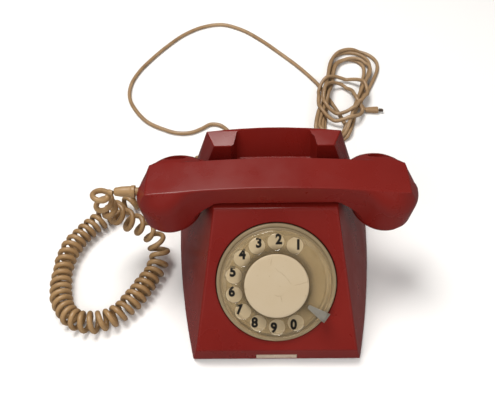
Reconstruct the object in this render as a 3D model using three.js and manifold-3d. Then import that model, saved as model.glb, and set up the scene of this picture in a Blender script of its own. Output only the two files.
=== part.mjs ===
// A desk telephone with a rotary dial: a wedge-shaped moulded housing, a dial with its clockwork, a bell set,
// a cradle switch and a handset on a curly cord. Millimetres, +Z up, +X to the right as seen from the front.
// The origin is on the surface it stands on, under the middle of the housing.
import * as THREE from "three";
import { ConvexGeometry } from "three/addons/geometries/ConvexGeometry.js";
import { mergeVertices } from "three/addons/utils/BufferGeometryUtils.js";
import Module from "manifold-3d";

const wasm = await Module();
wasm.setup();

// ---- Driving dimensions ----
const WALL = 2.5; // housing wall
const GAP = 0.4; // between pieces that touch
const FOOT_H = 3; // the housing's lower edge stands this high

const FRONT_Y = -97; // front lip
const REAR_Y = 97; // middle of the rear edge at the base
const LIP_TOP_Z = 17.4;
const LIP_HALF = 65.5; // half width at the top of the lip
const BROW_Y = -16.5; // top edge of the sloping dial face
const BROW_Z = 101.7;
const BROW_HALF = 49.3;
const POST_Y = 46; // front of the two cradle posts
const POST_Z = 108.8;
const POST_HALF = 51; // outer edge of a post's front
const RIDGE_Y = 60.7; // rear top edge at its ends
const RIDGE_BOW = 4.8; // how far the ridge bows back in the middle
const RIDGE_Z = 112;
const RIDGE_HALF = 57.5;
const SADDLE_BACK_Z = 93; // bottom of the saddle at the posts
const SHOULDER_HALF = 65.9; // side shoulder beside the posts
const SHOULDER_Z = 84;
const GRIP_HALF = 32.2; // grip recess between the posts, half width at the ridge
const GRIP_FLARE = 36.8; // and at the posts' fronts
const GRIP_BACK_Y = 62.3;
const GRIP_FLOOR_Z = 90;
const GRIP_R = 11;
const GRIP_LEAN = 0.032; // share of the recess's depth lost per millimetre below the ridge

const FACE_SLOPE = Math.atan2(BROW_Z - LIP_TOP_Z, BROW_Y - FRONT_Y);
const DIAL_UP = 56.5; // dial centre, up the face from the lip
const DIAL_HOLE_R = 48.8;
const PLATE_R = 47.4;
const WHEEL_R = 43.6;
const WHEEL_Z = 6.6; // underside of the finger wheel above the face
const WHEEL_T = 2.4;
const HOLE_RING_R = 34.5;
const HOLE_R = 6.6;
const HOLE_STEP = 360 / 14; // degrees between finger holes
const FIRST_HOLE = 64.6; // the hole for 1, degrees from +X
const STOP_ANGLE = -34.5;
const DISC_R = 24.8;

const GEAR_MODULE = 1.2;
const GEAR_TEETH = 36;
const PINION_TEETH = 12;
const PINION_ANGLE = 100; // where the pinion sits round the dial, degrees from +X

const HANDSET_X = 1.4; // the handset lies a little right of the middle
const HANDSET_Y = 3; // its middle plane
const BAR_HALF = 104.6;
const BAR_END_Z = 115;
const BAR_BOW = 7.3;
const BAR_W = 32.6;
const BAR_UNDER_Z = 103.4;
const CUP_X = 88.7; // cup axis from the handset's middle, at CUP_Z
const CUP_Z = 95;
const CUP_R = 26;
const CUP_TILT = THREE.MathUtils.degToRad(10);
const SHELF_R = 29; // the cups bulge out behind the bar, round this line
const SHELF_X = 80;
const SHELF_Z = 110.4;
const CAP_R = 24;
const RELIEF_Z = 101; // the cord leaves the left end at this height

const PLUNGER_X = 38;
const PLUNGER_Y = 12;
const PLUNGER_R = 4;
const PIVOT_Y = 34;
const PIVOT_Z = 80;

const CURLY_R = 9.6; // outer radius of the curly cord
const LINE_R = 2.1; // line cord

// ---- Colours ----
const paint = (color, roughness, metalness = 0) =>
  new THREE.MeshStandardMaterial({ color, roughness, metalness });
const red = paint(0x8f221c, 0.25);
const redCap = paint(0x7d1f1a, 0.3);
const ivory = paint(0xc8b599, 0.4);
const beige = paint(0x86725a, 0.45);
const amber = paint(0xb09a74, 0.2);
const paper = paint(0xcfc4ae, 0.8);
const steel = paint(0x8d8f8c, 0.35, 0.9);
const brass = paint(0xb08d4a, 0.35, 0.9);
const bellMetal = paint(0x9a9a92, 0.3, 0.9);
const black = paint(0x1d1c1b, 0.6);
const rubber = paint(0x24211f, 0.85);
const board = paint(0x6b4a26, 0.6);
const copper = paint(0x9c4f28, 0.4, 0.6);
const cordTan = paint(0xa27e56, 0.6);
const cordTip = paint(0x2b2622, 0.5);

// ---- Helpers ----
const phone = new THREE.Group();
const deg = THREE.MathUtils.degToRad;

// A closed geometry as a solid that can be joined and cut.
function solid(geometry) {
  const flat = geometry.index ? geometry.toNonIndexed() : geometry;
  const bare = new THREE.BufferGeometry().setAttribute("position", flat.getAttribute("position"));
  const merged = mergeVertices(bare, 1e-4);
  const vertProperties = merged.attributes.position.array;
  const triVerts = new Uint32Array(merged.index.array);
  return new wasm.Manifold(new wasm.Mesh({ numProp: 3, vertProperties, triVerts }));
}

function geometryOf(made) {
  const mesh = made.getMesh();
  const geometry = new THREE.BufferGeometry();
  geometry.setAttribute("position", new THREE.BufferAttribute(mesh.vertProperties, 3));
  geometry.setIndex(new THREE.BufferAttribute(mesh.triVerts, 1));
  geometry.computeVertexNormals();
  return geometry;
}

function add(name, shape, material, parent = phone) {
  const geometry = shape.isBufferGeometry ? shape : geometryOf(shape);
  const mesh = new THREE.Mesh(geometry, material);
  mesh.name = name;
  parent.add(mesh);
  return mesh;
}

const at = (geometry, x, y, z) => geometry.translate(x, y, z);
const box = (w, d, h, x, y, z) => at(new THREE.BoxGeometry(w, d, h), x, y, z);

// A solid of revolution about +Z from [radius, height] pairs, listed anticlockwise with the axis on the left.
function lathe(profile, segments) {
  const points = profile.map(([r, z]) => new THREE.Vector2(r, z));
  return new THREE.LatheGeometry(points, segments).rotateX(Math.PI / 2);
}

// A cylinder along Z between two heights.
function rod(r, z0, z1, x = 0, y = 0, segments = 16) {
  const geometry = new THREE.CylinderGeometry(r, r, z1 - z0, segments).rotateX(Math.PI / 2);
  return at(geometry, x, y, (z0 + z1) / 2);
}

// A flat ring or washer between two heights.
const ring = (inner, outer, z0, z1, segments) =>
  lathe([[inner, z0], [outer, z0], [outer, z1], [inner, z1], [inner, z0]], segments);

function shapeOf(points) {
  return new THREE.Shape(points.map(([x, y]) => new THREE.Vector2(x, y)));
}

// A flat plate in XY, its underside at z, with optional round holes as [x, y, radius].
function plate(points, z, thickness, holes = [], curveSegments = 12) {
  const shape = shapeOf(points);
  for (const [x, y, r] of holes) shape.holes.push(new THREE.Path().absarc(x, y, r, 0, 2 * Math.PI));
  const options = { depth: thickness, bevelEnabled: false, curveSegments };
  return at(new THREE.ExtrudeGeometry(shape, options), 0, 0, z);
}

// An outline in YZ drawn as [y, z], extruded along X between two places.
function acrossX(shape, x0, x1, curveSegments = 10) {
  const options = { depth: x1 - x0, bevelEnabled: false, curveSegments };
  const geometry = new THREE.ExtrudeGeometry(shape, options);
  return at(geometry.rotateX(Math.PI / 2).rotateZ(Math.PI / 2), x0, 0, 0);
}

// An outline in XZ drawn as [x, z], extruded along Y between two places.
function acrossY(shape, y0, y1, curveSegments = 10) {
  const options = { depth: y1 - y0, bevelEnabled: false, curveSegments };
  return at(new THREE.ExtrudeGeometry(shape, options).rotateX(Math.PI / 2), 0, y1, 0);
}

// A round tube along a smooth curve through the given points.
function tube(points, r, sides, steps) {
  const section = new THREE.Shape();
  for (let i = 0; i < sides; i++) {
    const a = (2 * Math.PI * i) / sides;
    section[i ? "lineTo" : "moveTo"](r * Math.cos(a), r * Math.sin(a));
  }
  const path = new THREE.CatmullRomCurve3(points.map((p) => new THREE.Vector3(...p)), false, "centripetal");
  path.arcLengthDivisions = 800;
  return new THREE.ExtrudeGeometry(section, { steps, extrudePath: path, bevelEnabled: false });
}

// ---- Housing ----
// Half width of the foot of the housing: it widens towards the rear, along a flat curve.
function footHalf(y) {
  const run = y - FRONT_Y;
  return 69 + 0.24 * run - 0.00068 * run * run;
}

const CORNER_Y = 73; // the rear corners are arcs about this line
const CORNER_R = 20;

// Outline of the foot, drawn in by inset, from the front right corner round to the front left one.
function footOutline(inset) {
  const right = [];
  for (let y = FRONT_Y; y < CORNER_Y; y += 24) right.push([footHalf(y), y]);
  for (let a = 0; a <= 90; a += 22.5) {
    const reach = footHalf(CORNER_Y) - CORNER_R;
    right.push([reach + CORNER_R * Math.cos(deg(a)), CORNER_Y + CORNER_R * Math.sin(deg(a))]);
  }
  for (let x = 52; x >= 0; x -= 26) right.push([x, REAR_Y - 4 * (x / 70) ** 2]);
  const left = right.slice(0, -1).reverse().map(([x, y]) => [-x, y]);
  return [...right, ...left].map(([x, y]) => [
    x - Math.sign(x) * inset,
    y + (y < 0 ? 1 : -1) * inset * (Math.abs(y) > 80 ? 1 : 0),
  ]);
}

// The ridge along the rear top edge.
function ridge(inset, z) {
  const points = [];
  for (let i = -4; i <= 4; i++) {
    const share = i / 4;
    const y = RIDGE_Y + RIDGE_BOW * (1 - share * share) - inset;
    points.push([share * (RIDGE_HALF - inset), y, z]);
  }
  return points;
}

const mirrored = (points) => [...points, ...points.map(([x, y, z]) => [-x, y, z])];
const hull = (points) => solid(new ConvexGeometry(points.map((p) => new THREE.Vector3(...p))));

// The housing's outer form, or the space inside it: inset moves every wall in, bottom is its lowest height.
function housingForm(inset, bottom) {
  const foot = footOutline(inset).map(([x, y]) => [x, y, bottom]);
  const lowered = inset * 1.1;
  const wedge = hull([
    ...foot,
    ...mirrored([
      [LIP_HALF - inset, FRONT_Y + inset, LIP_TOP_Z - inset * 0.4],
      [BROW_HALF - inset, BROW_Y + inset * 0.3, BROW_Z - lowered],
      [POST_HALF + 1 - inset, POST_Y, SADDLE_BACK_Z - lowered],
      [SHOULDER_HALF - inset, RIDGE_Y, SHOULDER_Z - lowered],
    ]),
  ]);
  const tower = hull([
    ...foot.filter(([, y]) => y > RIDGE_Y - 25),
    ...mirrored([
      [POST_HALF - inset, POST_Y + inset, POST_Z - lowered],
      [POST_HALF + 1 - inset, POST_Y + inset, SADDLE_BACK_Z - 10],
    ]),
    ...ridge(inset, RIDGE_Z - lowered),
  ]);
  return wedge.add(tower);
}

// The U-shaped grip recess between the posts, or the space that its wall takes up.
function gripRecess(grow) {
  const back = GRIP_BACK_Y + grow;
  const half = GRIP_HALF + grow;
  const r = GRIP_R + grow;
  const outline = new THREE.Shape();
  outline.moveTo(-GRIP_FLARE - grow, POST_Y - 16);
  outline.lineTo(GRIP_FLARE + grow, POST_Y - 16);
  outline.lineTo(GRIP_FLARE + grow, POST_Y);
  outline.lineTo(half, back - r);
  outline.quadraticCurveTo(half - 1, back - 1, half - r, back);
  outline.quadraticCurveTo(0, back + 3.4, -half + r, back);
  outline.quadraticCurveTo(-half + 1, back - 1, -half, back - r);
  outline.lineTo(-GRIP_FLARE - grow, POST_Y);
  const options = { depth: 40, bevelEnabled: false, curveSegments: 5 };
  const form = at(new THREE.ExtrudeGeometry(outline, options), 0, 0, GRIP_FLOOR_Z - grow);
  const points = form.attributes.position;
  for (let i = 0; i < points.count; i++) {
    const run = points.getY(i) - POST_Y;
    const share = 1 - GRIP_LEAN * (RIDGE_Z - points.getZ(i));
    if (run > 0) points.setY(i, POST_Y + run * share); // the back wall leans towards the rear
  }
  return solid(form);
}

// A round cutter square to the dial face, between two heights above the face.
const dialFrame = new THREE.Group();
dialFrame.position.set(
  0,
  FRONT_Y + DIAL_UP * Math.cos(FACE_SLOPE),
  LIP_TOP_Z + DIAL_UP * Math.sin(FACE_SLOPE),
);
dialFrame.rotation.x = FACE_SLOPE;
dialFrame.updateMatrixWorld(true);
phone.add(dialFrame);
const inDial = (geometry) => geometry.applyMatrix4(dialFrame.matrixWorld);

const BOSS_R = 4;
const SCREW_R = 1.3;
const BOSSES = [[-30, -88], [30, -88], [-45, 84], [45, 84]];
const LABEL_HALF = 17;
const LABEL_Z = [4.2, 10.2];
const GLAND_Z = 11;
const LINE_GLAND_X = -34;
const CURLY_GLAND_X = -66;
const GLAND_R = 3.4;
const GLAND_START_Y = 80;

function makeHousing() {
  const outer = housingForm(0, FOOT_H);
  const hollow = housingForm(WALL, FOOT_H - 4).subtract(gripRecess(WALL));
  let shell = outer.subtract(hollow).subtract(gripRecess(0));
  for (const [x, y] of BOSSES) {
    const post = solid(rod(BOSS_R, 6.5, 26, x, y)).intersect(housingForm(0.6, FOOT_H));
    shell = shell.add(post).subtract(solid(rod(SCREW_R + 0.3, 0, 20, x, y, 12)));
  }
  shell = shell.subtract(solid(inDial(rod(DIAL_HOLE_R, -7, 8, 0, 0, 44))));
  for (const side of [-1, 1]) {
    shell = shell.subtract(solid(rod(PLUNGER_R + 0.5, 85, 110, side * PLUNGER_X, PLUNGER_Y, 14)));
  }
  const labelHeight = LABEL_Z[1] - LABEL_Z[0];
  const labelMiddle = (LABEL_Z[0] + LABEL_Z[1]) / 2;
  shell = shell.subtract(solid(box(2 * LABEL_HALF, 6, labelHeight, 0, FRONT_Y - 1.6, labelMiddle)));
  for (const x of [LINE_GLAND_X, CURLY_GLAND_X]) {
    const hole = rod(GLAND_R + 0.4, 0, 40, 0, 0, 20).rotateX(-Math.PI / 2);
    shell = shell.subtract(solid(at(hole, x, GLAND_START_Y - 8, GLAND_Z)));
  }
  add("housing_shell", shell, red);
}

function makeBase() {
  const outline = footOutline(WALL + 2.6);
  const holes = BOSSES.map(([x, y]) => [x, y, SCREW_R + 0.3]);
  add("base_plate", plate(outline, FOOT_H + 0.6, 1.6, holes), black);
  const names = ["front_left", "front_right", "rear_left", "rear_right"];
  [[-54, -80], [54, -80], [-68, 70], [68, 70]].forEach(([x, y], i) => {
    const profile = [[0, 0], [7, 0], [8, 1], [8, FOOT_H + 0.3], [0, FOOT_H + 0.3]];
    add("foot_" + names[i], at(lathe(profile, 12), x, y, 0), rubber);
  });
  BOSSES.forEach(([x, y], i) => {
    const head = FOOT_H + 0.6 - GAP;
    const profile = [[0, 1.4], [2.6, 1.4], [3, 1.9], [3, head], [SCREW_R, head], [SCREW_R, 17], [0, 18]];
    add("base_screw_" + names[i], at(lathe(profile, 8), x, y, 0), steel);
  });
}

function makeLabel() {
  const height = LABEL_Z[1] - LABEL_Z[0] - 0.6;
  const middle = (LABEL_Z[0] + LABEL_Z[1]) / 2;
  add("label_card", box(2 * LABEL_HALF - 1, 0.4, height, 0, FRONT_Y + 0.95, middle), paper);
  add("label_window", box(2 * LABEL_HALF - 0.8, 0.8, height, 0, FRONT_Y + 0.05, middle), amber);
}

// ---- Dial ----
const polar = (r, a) => [r * Math.cos(deg(a)), r * Math.sin(deg(a))];
const SHAFT_R = 3;
const BRIDGE_Z = -33; // rear bridge of the clockwork, below the face
const GEAR_Z = -21;
const GEAR_T = 2.4;

// Toothed outline: straight-sided teeth that thin towards the tip, with backlash.
function gearOutline(teeth, turned) {
  const pitch = (GEAR_MODULE * teeth) / 2;
  const root = pitch - 1.15 * GEAR_MODULE;
  const tip = pitch + 0.8 * GEAR_MODULE;
  const points = [];
  for (let i = 0; i < teeth; i++) {
    const middle = (360 * i) / teeth + turned;
    const step = 360 / teeth;
    points.push(polar(root, middle - 0.27 * step), polar(tip, middle - 0.1 * step));
    points.push(polar(tip, middle + 0.1 * step), polar(root, middle + 0.27 * step));
  }
  return points;
}

function makeDial() {
  const plateProfile = [
    [SHAFT_R + 1.6, -3], [PLATE_R - 1, -3], [PLATE_R, -2], [PLATE_R, 1.8], [PLATE_R - 0.8, 2.6],
    [PLATE_R - 2.2, 2.6], [PLATE_R - 3, 1.4], [HOLE_RING_R - 9, 1.4], [HOLE_RING_R - 10, 2.2],
    [SHAFT_R + 1.6, 2.2], [SHAFT_R + 1.6, -3],
  ];
  add("number_plate", lathe(plateProfile, 30), beige, dialFrame);

  const holes = [];
  for (let i = 0; i < 10; i++) holes.push([...polar(HOLE_RING_R, FIRST_HOLE + i * HOLE_STEP), HOLE_R]);
  const rim = [];
  for (let i = 0; i < 45; i++) rim.push(polar(WHEEL_R, i * 8));
  const wheelHoles = [...holes, [0, 0, SHAFT_R + 0.5]];
  add("finger_wheel", plate(rim, WHEEL_Z, WHEEL_T, wheelHoles, 6), amber, dialFrame);

  const discZ = WHEEL_Z + WHEEL_T + GAP;
  const card = [[0, discZ + 1.6], [DISC_R - 1.4, discZ + 1.6], [DISC_R - 1.4, discZ + 2.1], [0, discZ + 2.1]];
  const holder = [
    [SHAFT_R + 0.5, discZ], [DISC_R - 1, discZ], [DISC_R, discZ + 0.8], [DISC_R, discZ + 2.6],
    [DISC_R - 0.9, discZ + 2.6], [DISC_R - 0.9, discZ + 1.2], [SHAFT_R + 0.5, discZ + 1.2],
    [SHAFT_R + 0.5, discZ],
  ];
  const cover = [
    [0, discZ + 2.5], [DISC_R - 1.3, discZ + 2.5], [DISC_R - 1.3, discZ + 3], [DISC_R - 4, discZ + 3.9],
    [DISC_R * 0.5, discZ + 4.6], [0, discZ + 4.8],
  ];
  add("disc_holder", lathe(holder, 28), ivory, dialFrame);
  add("disc_card", lathe(card, 28), paper, dialFrame);
  add("disc_cover", lathe(cover, 28), ivory, dialFrame);

  const stopZ = WHEEL_Z + WHEEL_T + 0.6;
  const arm = shapeOf([[30.6, -0.7], [46.8, -3.6], [46.8, 3.6], [30.6, 0.7]]);
  const armBody = solid(at(new THREE.ExtrudeGeometry(arm, { depth: 1, bevelEnabled: false }), 0, 0, stopZ));
  const leg = solid(box(1.6, 7.2, stopZ + 1 - 3, 46, 0, (stopZ + 4) / 2));
  const stop = geometryOf(armBody.add(leg)).rotateZ(deg(STOP_ANGLE));
  add("finger_stop", stop, steel, dialFrame);

  const shaft = [
    [0, BRIDGE_Z - 4], [SHAFT_R - 0.6, BRIDGE_Z - 4], [SHAFT_R - 0.6, GEAR_Z - 1], [SHAFT_R, GEAR_Z - 1],
    [SHAFT_R, discZ + 0.9], [0, discZ + 0.9],
  ];
  add("dial_shaft", lathe(shaft, 20), steel, dialFrame);
  const mainGear = plate(gearOutline(GEAR_TEETH, PINION_ANGLE), GEAR_Z, GEAR_T, [[0, 0, SHAFT_R + 0.3]]);
  add("main_gear", mainGear, brass, dialFrame);

  const frameHoles = [[0, 0, SHAFT_R + 0.6]];
  const frameRim = [];
  for (let i = 0; i < 24; i++) frameRim.push(polar(45, i * 15));
  add("dial_frame", plate(frameRim, -5.6, 2, frameHoles), steel, dialFrame);
  add("return_spring", ring(5, 16, -15.5, -10.5, 16), steel, dialFrame);

  const distance = (GEAR_MODULE * (GEAR_TEETH + PINION_TEETH)) / 2;
  const pinionAt = polar(distance, PINION_ANGLE);
  const bridgeRim = [];
  for (let i = 0; i < 24; i++) bridgeRim.push(polar(33, i * 15));
  const bridgeHoles = [[0, 0, SHAFT_R], [...pinionAt, 2]];
  const bridge = solid(plate(bridgeRim, BRIDGE_Z, 1.6, bridgeHoles));
  const pillars = [20, 140, 235, 325].map((a) => solid(rod(1.8, BRIDGE_Z + 1, -6, ...polar(29.5, a), 10)));
  add("dial_bridge", pillars.reduce((all, one) => all.add(one), bridge), steel, dialFrame);

  const clock = new THREE.Group();
  clock.position.set(pinionAt[0], pinionAt[1], 0);
  dialFrame.add(clock);
  const halfTooth = 180 / PINION_TEETH;
  const pinionTurn = PINION_ANGLE + 180 + halfTooth;
  const arbor = solid(rod(1.6, BRIDGE_Z - 1.5, -8, 0, 0, 12));
  const pinion = solid(plate(gearOutline(PINION_TEETH, pinionTurn), GEAR_Z - 0.8, GEAR_T + 1.6));
  add("pulse_pinion", arbor.add(pinion), brass, clock);
  const cam = shapeOf([...Array(24).keys()].map((i) => polar(i % 8 < 4 ? 6.5 : 5.2, i * 15)));
  cam.holes.push(new THREE.Path().absarc(0, 0, 1.9, 0, 2 * Math.PI));
  const camBody = new THREE.ExtrudeGeometry(cam, { depth: 2, bevelEnabled: false, curveSegments: 8 });
  add("pulse_cam", at(camBody, 0, 0, -14), black, clock);
  return pinionAt;
}

// The speed governor: a pinion on the main gear spins two weights in a fixed cup.
const GOVERNOR_TEETH = 8;
const GOVERNOR_ANGLE = PINION_ANGLE + 70;

function makeGovernor(pinionAt) {
  const place = new THREE.Group();
  const reach = (GEAR_MODULE * (GEAR_TEETH + GOVERNOR_TEETH)) / 2;
  place.position.set(...polar(reach, GOVERNOR_ANGLE), 0);
  dialFrame.add(place);
  const pinionTurn = GOVERNOR_ANGLE + 180 + 180 / GOVERNOR_TEETH;
  const pinion = solid(plate(gearOutline(GOVERNOR_TEETH, pinionTurn), GEAR_Z - 0.8, GEAR_T + 1.6));
  add("governor_spindle", pinion.add(solid(rod(1, BRIDGE_Z + 1.9, -6.2, 0, 0, 10))), steel, place);
  const bar = solid(box(11, 2, 1.6, 0, 0, -12)).add(solid(rod(2.2, -13, -9, 0, 0, 12)));
  const weights = [-1, 1].map((side) => solid(rod(1.6, -13.4, -10.2, side * 5, 0, 10)));
  const flyer = bar.add(weights[0]).add(weights[1]).subtract(solid(rod(1.3, -16, -6, 0, 0, 12)));
  add("governor_weights", flyer, brass, place);
  add("governor_cup", ring(7.4, 8.6, -14.5, -8.5, 16), brass, place);
  const [px, py] = pinionAt; // the contacts stand beside the pulse cam
  const leaf = solid(box(3, 14, 1, px + 13.4, py - 2, -13));
  add("pulse_contacts", leaf.add(solid(box(5, 6, 6, px + 13.4, py - 6, -13.2))), black, dialFrame);
}

// ---- Cradle switch ----
function makeCradle() {
  for (const [where, side] of [["left", -1], ["right", 1]]) {
    const top = BAR_UNDER_Z - GAP;
    const profile = [
      [0, PIVOT_Z + 2], [PLUNGER_R + 1.6, PIVOT_Z + 2], [PLUNGER_R + 1.6, PIVOT_Z + 4],
      [PLUNGER_R, PIVOT_Z + 4], [PLUNGER_R, top - 1.2], [PLUNGER_R - 1.2, top], [0, top],
    ];
    add("cradle_plunger_" + where, at(lathe(profile, 14), side * PLUNGER_X, PLUNGER_Y, 0), redCap);
  }
  const arm = new THREE.Shape();
  arm.moveTo(PLUNGER_Y - 1, PIVOT_Z - 0.6);
  arm.lineTo(PIVOT_Y, PIVOT_Z - 4);
  arm.lineTo(PIVOT_Y + 13, PIVOT_Z - 1.4);
  arm.lineTo(PIVOT_Y + 13, PIVOT_Z + 0.4);
  arm.lineTo(PIVOT_Y + 4, PIVOT_Z + 1.4);
  arm.lineTo(PIVOT_Y, PIVOT_Z + 4);
  arm.lineTo(PIVOT_Y - 5, PIVOT_Z + 1.4);
  arm.lineTo(PLUNGER_Y - 1, PIVOT_Z + 1.4);
  arm.holes.push(new THREE.Path().absarc(PIVOT_Y, PIVOT_Z, 1.9, 0, 2 * Math.PI));
  const middleCut = solid(box(60, 22, 12, 0, PLUNGER_Y + 2, PIVOT_Z));
  const springCut = solid(box(13, 12, 14, 0, PIVOT_Y, PIVOT_Z));
  add("hook_lever", solid(acrossX(arm, -43, 43, 6)).subtract(middleCut).subtract(springCut), steel);
  add("hook_pin", at(rod(1.5, -50, 50, 0, 0, 14).rotateY(Math.PI / 2), 0, PIVOT_Y, PIVOT_Z), steel);
  for (const [where, side] of [["left", -1], ["right", 1]]) {
    const web = shapeOf([[PIVOT_Y - 5, PIVOT_Z - 5], [PIVOT_Y + 5, PIVOT_Z - 5], [PIVOT_Y + 5, PIVOT_Z + 6],
      [PIVOT_Y - 5, PIVOT_Z + 6]]);
    web.holes.push(new THREE.Path().absarc(PIVOT_Y, PIVOT_Z, 1.9, 0, 2 * Math.PI));
    const x0 = side * 46.5 - 1;
    add("hook_bracket_" + where, acrossX(web, x0, x0 + 2, 6), steel);
  }
  const spring = ring(1.9, 3.6, -5, 5, 16).rotateY(Math.PI / 2);
  add("hook_spring", at(spring, 0, PIVOT_Y, PIVOT_Z), steel);
  add("hook_switch", solid(box(16, 11, 16, 0, PIVOT_Y + 20, PIVOT_Z - 7))
    .add(solid(box(10, 14, 0.8, 0, PIVOT_Y + 12, PIVOT_Z - 5.2))), black);
}

// ---- Bells ----
const GONG_X = 29;
const GONG_Y = 58;
const GONG_R = 23;
const GONG_Z = 34;
const COIL_Y = 36;
const CLAPPER_Y = 46; // the clapper's pivot

function makeBells() {
  const dome = [
    [1.6, GONG_Z], [6, GONG_Z], [15, GONG_Z - 2.4], [20.5, GONG_Z - 7], [GONG_R, GONG_Z - 14],
    [GONG_R, GONG_Z - 15.4], [GONG_R - 1.4, GONG_Z - 15.4], [19.4, GONG_Z - 8], [14.4, GONG_Z - 3.8],
    [6, GONG_Z - 1.6], [1.6, GONG_Z - 1.6], [1.6, GONG_Z],
  ].reverse();
  for (const [where, side] of [["left", -1], ["right", 1]]) {
    add("gong_" + where, at(lathe(dome, 16), side * GONG_X, GONG_Y, 0), bellMetal);
  }
  let frame = solid(box(74, 12, 1.6, 0, GONG_Y, 7.4));
  for (const side of [-1, 1]) frame = frame.add(solid(rod(1.2, 7, GONG_Z + 2, side * GONG_X, GONG_Y, 10)));
  for (const x of [-9.6, 9.6]) frame = frame.add(solid(box(1.6, 12, 14, x, COIL_Y + 2, 13.6)));
  frame = frame.add(solid(box(21, 14, 1.6, 0, CLAPPER_Y, 7.4))).add(solid(rod(1, 7, 26, 0, CLAPPER_Y, 10)));
  add("ringer_frame", frame, steel);
  const coil = ring(3, 8, -7, 7, 20).rotateY(Math.PI / 2);
  add("ringer_coil", at(coil, 0, COIL_Y, 17), copper);
  add("ringer_core", at(rod(2.6, -8, 8, 0, 0, 12).rotateY(Math.PI / 2), 0, COIL_Y, 17), steel);
  const clapper = solid(box(12, 3, 1.4, 0, CLAPPER_Y, 27))
    .add(solid(box(1.4, 13, 1.4, 0, CLAPPER_Y + 6, 27)))
    .add(solid(rod(0.8, 22, 27, 0, GONG_Y, 8)))
    .add(solid(at(new THREE.SphereGeometry(3, 12, 8), 0, GONG_Y, 22)));
  add("ringer_clapper", clapper, brass);
}

// ---- Electrics on the base ----
function makeElectrics() {
  const y = -14;
  add("circuit_board", box(104, 30, 1.6, 0, y, 8.6), board);
  add("induction_coil", solid(box(20, 16, 14, -30, y, 17)).add(solid(box(14, 22, 9, -30, y, 17))), copper);
  add("capacitor", at(rod(6, -11, 11, 0, 0, 18).rotateY(Math.PI / 2), 4, y, 16), brass);
  add("terminal_block", solid(box(24, 9, 8, 36, y - 7, 13.8)).add(solid(box(20, 9, 5, 36, y, 12.3))), ivory);
}

// ---- Handset ----
const handset = new THREE.Group();
handset.position.set(HANDSET_X, HANDSET_Y, 0);
phone.add(handset);

// Turns a lathe about +Z into one about a cup's axis. Height 0 is at CUP_Z, and lower heights point at the cap.
function onCup(geometry, side) {
  return at(geometry.rotateY(side * CUP_TILT), side * CUP_X, 0, CUP_Z);
}

// Height of the bar's top edge, which arches up in the middle.
const barTop = (x) => BAR_END_Z + BAR_BOW * (1 - (x / BAR_HALF) ** 2);

// Side view of the bar and the fillets under it that run into the two cups.
function barProfile() {
  const end = BAR_HALF - 12;
  const shape = new THREE.Shape();
  shape.moveTo(-end, barTop(end));
  shape.lineTo(-end, 96);
  shape.lineTo(-67, 86.5);
  shape.bezierCurveTo(-61, 94, -60, BAR_UNDER_Z, -48, BAR_UNDER_Z);
  shape.lineTo(48, BAR_UNDER_Z);
  shape.bezierCurveTo(60, BAR_UNDER_Z, 61, 94, 67, 86.5);
  shape.lineTo(end, 96);
  shape.lineTo(end, barTop(end));
  for (let x = end - 13.2; x > -end; x -= 13.2) shape.lineTo(x, barTop(x));
  return shape;
}

// One end of the handset: straight-edged on top, round at the cup's rim, and drawn tight between the two.
function cupBody(side) {
  const points = [];
  for (let x = 60; x <= BAR_HALF + 0.01; x += (BAR_HALF - 60) / 4) {
    for (const y of [-BAR_W / 2, BAR_W / 2]) points.push([side * x, y, barTop(x)]);
  }
  for (let a = 0; a < 360; a += 12) {
    for (const height of [-14, 3]) {
      const rim = new THREE.Vector3(...polar(CUP_R, a), height);
      rim.applyAxisAngle(new THREE.Vector3(0, 1, 0), side * CUP_TILT);
      points.push([rim.x + side * CUP_X, rim.y, rim.z + CUP_Z]);
    }
  }
  for (let a = 36; a <= 144; a += 12) {
    const [x, y] = polar(SHELF_R, a);
    points.push([side * (SHELF_X + x), 1 + y, SHELF_Z]);
  }
  return hull(points);
}

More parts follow.
